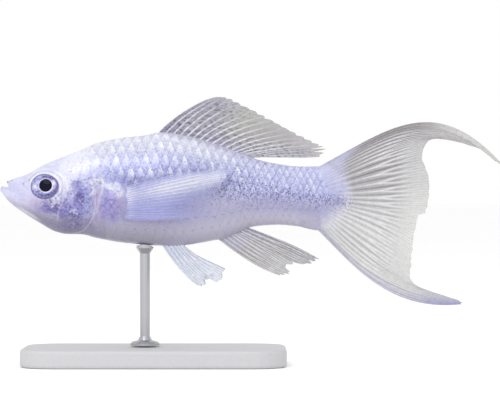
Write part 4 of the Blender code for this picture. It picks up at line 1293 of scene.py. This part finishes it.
def paint_anal(s, h, across, along, ridge, number):
    web = layers(
        FIN_LILAC,
        (FIN_GREY, step(0.1, 0.4, along)),
        (FIN_DARK, 0.3 * fall(0.1, 0.4, along) + 0.5 * step(0.75, 1.0, across)),
        (FIN_PALE, 0.4 * step(0.5, 0.9, along) * fall(0.4, 0.8, across)),
        (FIN_RAY, 0.8 * ridge),
    )
    return web, 0.7 + 0.3 * ridge, 0.4 * step(0.3, 0.8, across)


def paint_pelvic(s, h, across, along, ridge, number):
    spots = patch(s, h, (45.2, -19.2), (0.35, 0.3)) + patch(s, h, (46.6, -18.6), (0.3, 0.3))
    spots = np.clip(0.7 * spots, 0, 1)
    web = layers(PELVIC_LILAC, (PELVIC_PALE, along), (FIN_DARK, spots), (WHITE, 0.7 * ridge))
    return web, 0.75 + 0.25 * ridge, 0 * s


PECTORAL_RAYS = 18
pectoral_strokes = np.random.default_rng(9).uniform(0.45, 1.1, PECTORAL_RAYS)


def paint_pectoral(s, h, across, along, ridge, number):
    lit = bump(across, 0.27, 0.17) * (0.45 + 0.55 * step(0.15, 0.5, along))
    stroke = np.interp(number, np.arange(PECTORAL_RAYS), pectoral_strokes)
    rear = step(0.35, 0.85, along) * (1 - 0.75 * lit)
    rays = mix(PECTORAL_RAY, WHITE, np.clip(1.3 * lit, 0, 1))
    root = fall(28.0, 30.5, s)
    tint = layers(
        FIN_MIST,
        (PECTORAL_WEB, 0.8 * lit),
        (rays, np.clip((0.4 + 0.55 * lit) * stroke * ridge, 0, 1)),
        (markings(s, h), 0.6 * root),
        # White ray bases on the upper part of the root: painted highlight
        (WHITE, 0.8 * ridge * root * fall(0.35, 0.65, across)),
    )
    margin = 1 - window(0.0, 0.1, 0.88, 1.0, across)
    solid = (0.6 + 0.18 * ridge + 0.2 * lit) * (1 - 0.93 * rear) * (1 - 0.6 * margin)
    solid *= 1 - 0.6 * step(0.85, 1.0, along)
    return tint, solid + 0.4 * root, 0 * s


def dorsal_side(s, h):
    return -DORSAL_LEAN * (np.maximum(0.0, h - back_line(np.minimum(s, BODY_LENGTH))) / 10.0) ** 1.5


def anal_side(s, h):
    return ANAL_LEAN * (np.maximum(0.0, -9.0 - h) / 10.0) ** 1.5


def add_fin(name, finish, nodes, *shape, **details):
    """A fin in the place of its solids. What follows them shapes its mesh."""
    piece = new_object(name, fin_mesh(name, *shape, **details), finish)
    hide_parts(*nodes)
    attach(piece, "root")


def build_fins(finish):
    """Each fin: its rays' keys, their number, points along a ray, middle surface, paint, seed and details."""
    add_fin(
        "dorsal_rays", finish, ["dorsal_fin"], DORSAL_KEYS, 19, 90, dorsal_side, paint_dorsal, 2,
        forks=(0.72, 1.5), radius=0.1, notch=0.03, splits={15: 0.15, 16: 0.12})
    add_fin(
        "tail_rays", finish, ["tail_fin_upper_lobe", "tail_fin_fan", "tail_fin_lower_lobe"],
        CAUDAL_KEYS, CAUDAL_RAYS, 130, lambda s, h: tail_side(s), paint_caudal, 3, forks=(0.35, 0.6),
        width=0.26, radius=0.12, notch=0.008, ragged=0.012, ripple=0.25, edge=tail_edge, start=-0.06,
        spaced=(0.25, 1.1), root_half=tail_flesh)
    add_fin("anal_rays", finish, ["anal_fin"], ANAL_KEYS, 10, 70, anal_side, paint_anal, 4, notch=0.04)
    for label, side in (("left", -1), ("right", 1)):
        def pelvic_side(s, h, side=side):
            return side * (PELVIC_ROOT_OUT + PELVIC_LEAN * (-12.0 - h))

        def pectoral_side(s, h, side=side):
            uneven = 0.05 * (h + 2.9) ** 2 + 0.3 * wander(3.0, h, 0.45, 41)
            rise = pectoral_rise(s + uneven * fall(29.0, 33.0, s))
            return side * (body_half(np.minimum(s, 34.0), np.clip(h, -8.0, 8.0)) + rise)

        add_fin(
            "pelvic_rays_" + label, finish, ["pelvic_fin_" + label], PELVIC_KEYS, 7, 60, pelvic_side,
            paint_pelvic, 5, forks=(0.3, 0.6), radius=0.12, notch=0.05)
        add_fin(
            "pectoral_rays_" + label, finish, ["pectoral_fin_" + label], PECTORAL_KEYS, PECTORAL_RAYS, 90,
            pectoral_side, paint_pectoral, 6, forks=(0.5, 1.5), width=0.14, radius=0.05, ripple=0.12,
            start=-0.06)


# The eyes

IRIS_STEPS = 48
PUPIL_STEPS = 20
IRIS_AROUND = 128
PUPIL_AT = (0.154, 0.012)
PUPIL_SIZE = (0.475, 0.545)

# Marks on the iris from the side: colour, strength, place and half widths, where the opening is 1, +x rear
IRIS_MARKS = [
    (IRIS_PALE, 0.5, (-0.45, 0.35), (0.25, 0.3)),
    (IRIS_LILAC, 0.8, (-0.52, 0.58), (0.16, 0.1)),
    (IRIS_LILAC, 0.8, (-0.78, 0.42), (0.08, 0.22)),
    (IRIS_LILAC, 0.9, (-0.86, -0.4), (0.12, 0.2)),
    (IRIS_LILAC, 0.7, (-0.1, -0.68), (0.5, 0.14)),
    (IRIS_LILAC, 0.6, (0.2, 0.6), (0.3, 0.1)),
    (IRIS_PALE, 0.9, (0.28, -0.53), (0.22, 0.1)),
    (IRIS_PALE, 0.8, (0.6, -0.15), (0.1, 0.25)),
    (IRIS_DARK, 0.85, (-0.15, 0.78), (0.15, 0.12)),
    (IRIS_DARK, 0.9, (0.08, 0.82), (0.17, 0.13)),
    (IRIS_DARK, 1.0, (0.38, 0.75), (0.2, 0.14)),
    (IRIS_DARK, 0.9, (0.62, 0.66), (0.14, 0.14)),
    (IRIS_DARK, 0.7, (0.8, 0.55), (0.12, 0.13)),
    (IRIS_DARK, 0.55, (0.91, 0.35), (0.09, 0.16)),
    (IRIS_DARK, 0.6, (0.94, 0.08), (0.09, 0.18)),
    (IRIS_DARK, 0.9, (0.87, -0.18), (0.1, 0.14)),
    (IRIS_DARK, 0.9, (0.74, -0.4), (0.12, 0.14)),
    (IRIS_DARK, 1.0, (0.54, -0.6), (0.17, 0.12)),
    (IRIS_DARK, 1.0, (0.32, -0.75), (0.18, 0.12)),
    (IRIS_DARK, 0.95, (0.06, -0.84), (0.18, 0.11)),
    (IRIS_DARK, 0.85, (-0.18, -0.83), (0.16, 0.11)),
    (IRIS_DARK, 0.7, (-0.42, -0.73), (0.16, 0.11)),
    (IRIS_DARK, 0.9, (-0.57, -0.48), (0.12, 0.11)),
    # White spots at the left and right of the iris: painted glints
    (WHITE, 1.0, (-0.76, -0.04), (0.12, 0.19)),
    (WHITE, 0.6, (-0.6, -0.22), (0.1, 0.14)),
    (WHITE, 1.0, (0.68, 0.28), (0.1, 0.2)),
]


def pupil_share(x, z):
    """Distance from the pupil's middle at places across the eye's opening, 1 at the pupil's edge."""
    return oval(x, z, PUPIL_AT, PUPIL_SIZE)


def iris_colours(x, z):
    """Linear colours of the iris at places across the eye's opening."""
    dome = np.sqrt(np.clip(1 - x**2 - z**2, 0, 1))
    colour = IRIS_BASE
    for shade, share, at, size in IRIS_MARKS:
        colour = mix(colour, shade, share * patch(x - 0.127 * dome, z + 0.05 * dome, at, size))
    low = step(-0.35, 0.3, 0.75 * (x - PUPIL_AT[0]) - (z - PUPIL_AT[1]))
    ring = (0.3 + 0.7 * low) * bump(0.5 * (pupil_share(x, z) - 1), 0.045, 0.035)
    return layers(
        colour, (WHITE, np.clip(ring, 0, 1)), (IRIS_DARK * 0.8, 0.6 * step(0.9, 1.02, np.hypot(x, z))))


def eyeball_mesh(name, side):
    """One eye: a shallow dome with a raised pupil and iris, and the ball behind it."""
    cos, sin = circle(IRIS_AROUND)
    to_opening = np.array(EYE_OPENING) / EYE_RADII[::2]
    centre = PUPIL_AT * to_opening
    pupil_edge = 1 / pupil_share(cos / to_opening[0], sin / to_opening[1])
    ring_number = np.arange(1, IRIS_STEPS + 1)[:, None]
    beyond = (ring_number - PUPIL_STEPS) / (IRIS_STEPS - PUPIL_STEPS)
    inside = ring_number <= PUPIL_STEPS
    r = np.where(inside, ring_number / PUPIL_STEPS * pupil_edge, pupil_edge + beyond * (1 - pupil_edge))
    x = r * cos + centre[0] * (1 - r)
    z = r * sin + centre[1] * (1 - r)
    from_pupil = 0.5 * (pupil_share(x / to_opening[0], z / to_opening[1]) - 1)
    dome = np.sqrt(np.clip(1 - x**2 - z**2, 0, 1))
    ring = 0.012 * bump(from_pupil, 0.045, 0.03) + 0.02 * fall(-0.03, 0.0, from_pupil)
    front = np.stack([x, side * (dome + ring), z], axis=-1)
    r = np.array([0.9, 0.6])[:, None]
    back = np.stack([r * cos, -side * np.sqrt(1 - r**2) + 0 * cos, r * sin], axis=-1)
    tips = [(centre[0], side * 1.015, centre[1]), (0, -side, 0)]

    turned = Matrix.Rotation(side * EYE_TURN, 3, "Z") @ Matrix.Rotation(side * EYE_TILT, 3, "X")

    def on_fish(points):
        return points * np.array(EYE_RADII) @ np.array(turned).T + (EYE_AT[0], side * EYE_OUT, EYE_AT[1])

    rings = np.concatenate([front, back])
    mesh = capped_rings(name, on_fish(rings), *on_fish(np.array(tips)))
    local = np.concatenate([rings.reshape(-1, 3), tips])[:, ::2] / to_opening
    keep_values(mesh, "tint", iris_colours(*local.T))
    pupil = {*range(PUPIL_STEPS * IRIS_AROUND), len(local) - 2}
    for polygon in mesh.polygons:
        polygon.material_index = int(pupil.issuperset(polygon.vertices))
    return mesh


def build_eyes(iris, pupil):
    for label, side in (("left", -1), ("right", 1)):
        eye = new_object("eyeball_" + label, eyeball_mesh("eyeball", side), iris, pupil)
        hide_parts("eye_" + label)
        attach(eye, "root")


# The stand keeps its solids and gets finer materials

STAND_SHARP = math.radians(30)


def dress_stand(steel, stone):
    for node, finish in (("stand_rod", steel), ("stand_base", stone)):
        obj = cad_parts[node]
        obj.data.materials.clear()
        obj.data.materials.append(finish)
        obj.data.shade_smooth()
        obj.data.set_sharp_from_angle(angle=STAND_SHARP)


# Floor, light and camera

CAMERA_DISTANCE = 0.611
CAMERA_HEIGHT = 0.0363
CAMERA_LENS = 200.0
LAMPS = [("key_light", (-0.2, -0.6, 0.45), 0.35, 2.0), ("top_light", (0.1, 0.1, 0.7), 0.5, 0.4)]
LAMPS_AIM_AT = Vector((0, 0, 0.035))


def floor_finish():
    nodes = Nodes("studio_floor")
    shade = nodes.blend(nodes.noise(3.0, 2.0, 0.5), (0.99, 0.99, 0.99, 1), (0.97, 0.97, 0.97, 1))
    nodes.set(Base_Color=shade, Roughness=0.9, Specular_IOR_Level=0.2)
    return nodes.material


def build_studio(finish):
    bpy.ops.mesh.primitive_plane_add(size=40, location=(0, 0, 0))
    floor = bpy.context.object
    floor.name = "floor"
    floor.data.materials.append(finish)

    world = bpy.data.worlds.new("studio")
    world.use_nodes = True
    sky = world.node_tree.nodes["Background"].inputs
    sky["Color"].default_value = (1, 1, 1, 1)
    sky["Strength"].default_value = 1.0
    bpy.context.scene.world = world

    for name, at, size, power in LAMPS:
        data = bpy.data.lights.new(name, "AREA")
        data.shape = "DISK"
        data.size = size
        data.energy = power
        lamp = new_object(name, data)
        lamp.location = at
        lamp.rotation_euler = (LAMPS_AIM_AT - lamp.location).to_track_quat("-Z", "Y").to_euler()

    data = bpy.data.cameras.new("camera")
    data.lens = CAMERA_LENS
    data.sensor_width = 36.0
    data.clip_start = 0.01
    data.clip_end = 100.0
    camera = new_object("camera", data)
    camera.location = (0, -CAMERA_DISTANCE, CAMERA_HEIGHT)
    camera.rotation_euler = (math.pi / 2, 0, 0)
    bpy.context.scene.camera = camera
    bpy.context.scene.view_settings.view_transform = "Standard"


build_skin(skin_finish())
build_scales(scale_finish())
build_fins(fin_finish())
build_eyes(iris_finish(), pupil_finish())
dress_stand(
    plain_finish("satin_steel", STAND_STEEL, 0.32, 1.0, 2400.0, 0.12, 0.2),
    plain_finish("pale_stone", STAND_STONE, 0.6, 0.0, 1400.0, 0.1, 0.3),
)
build_studio(floor_finish())
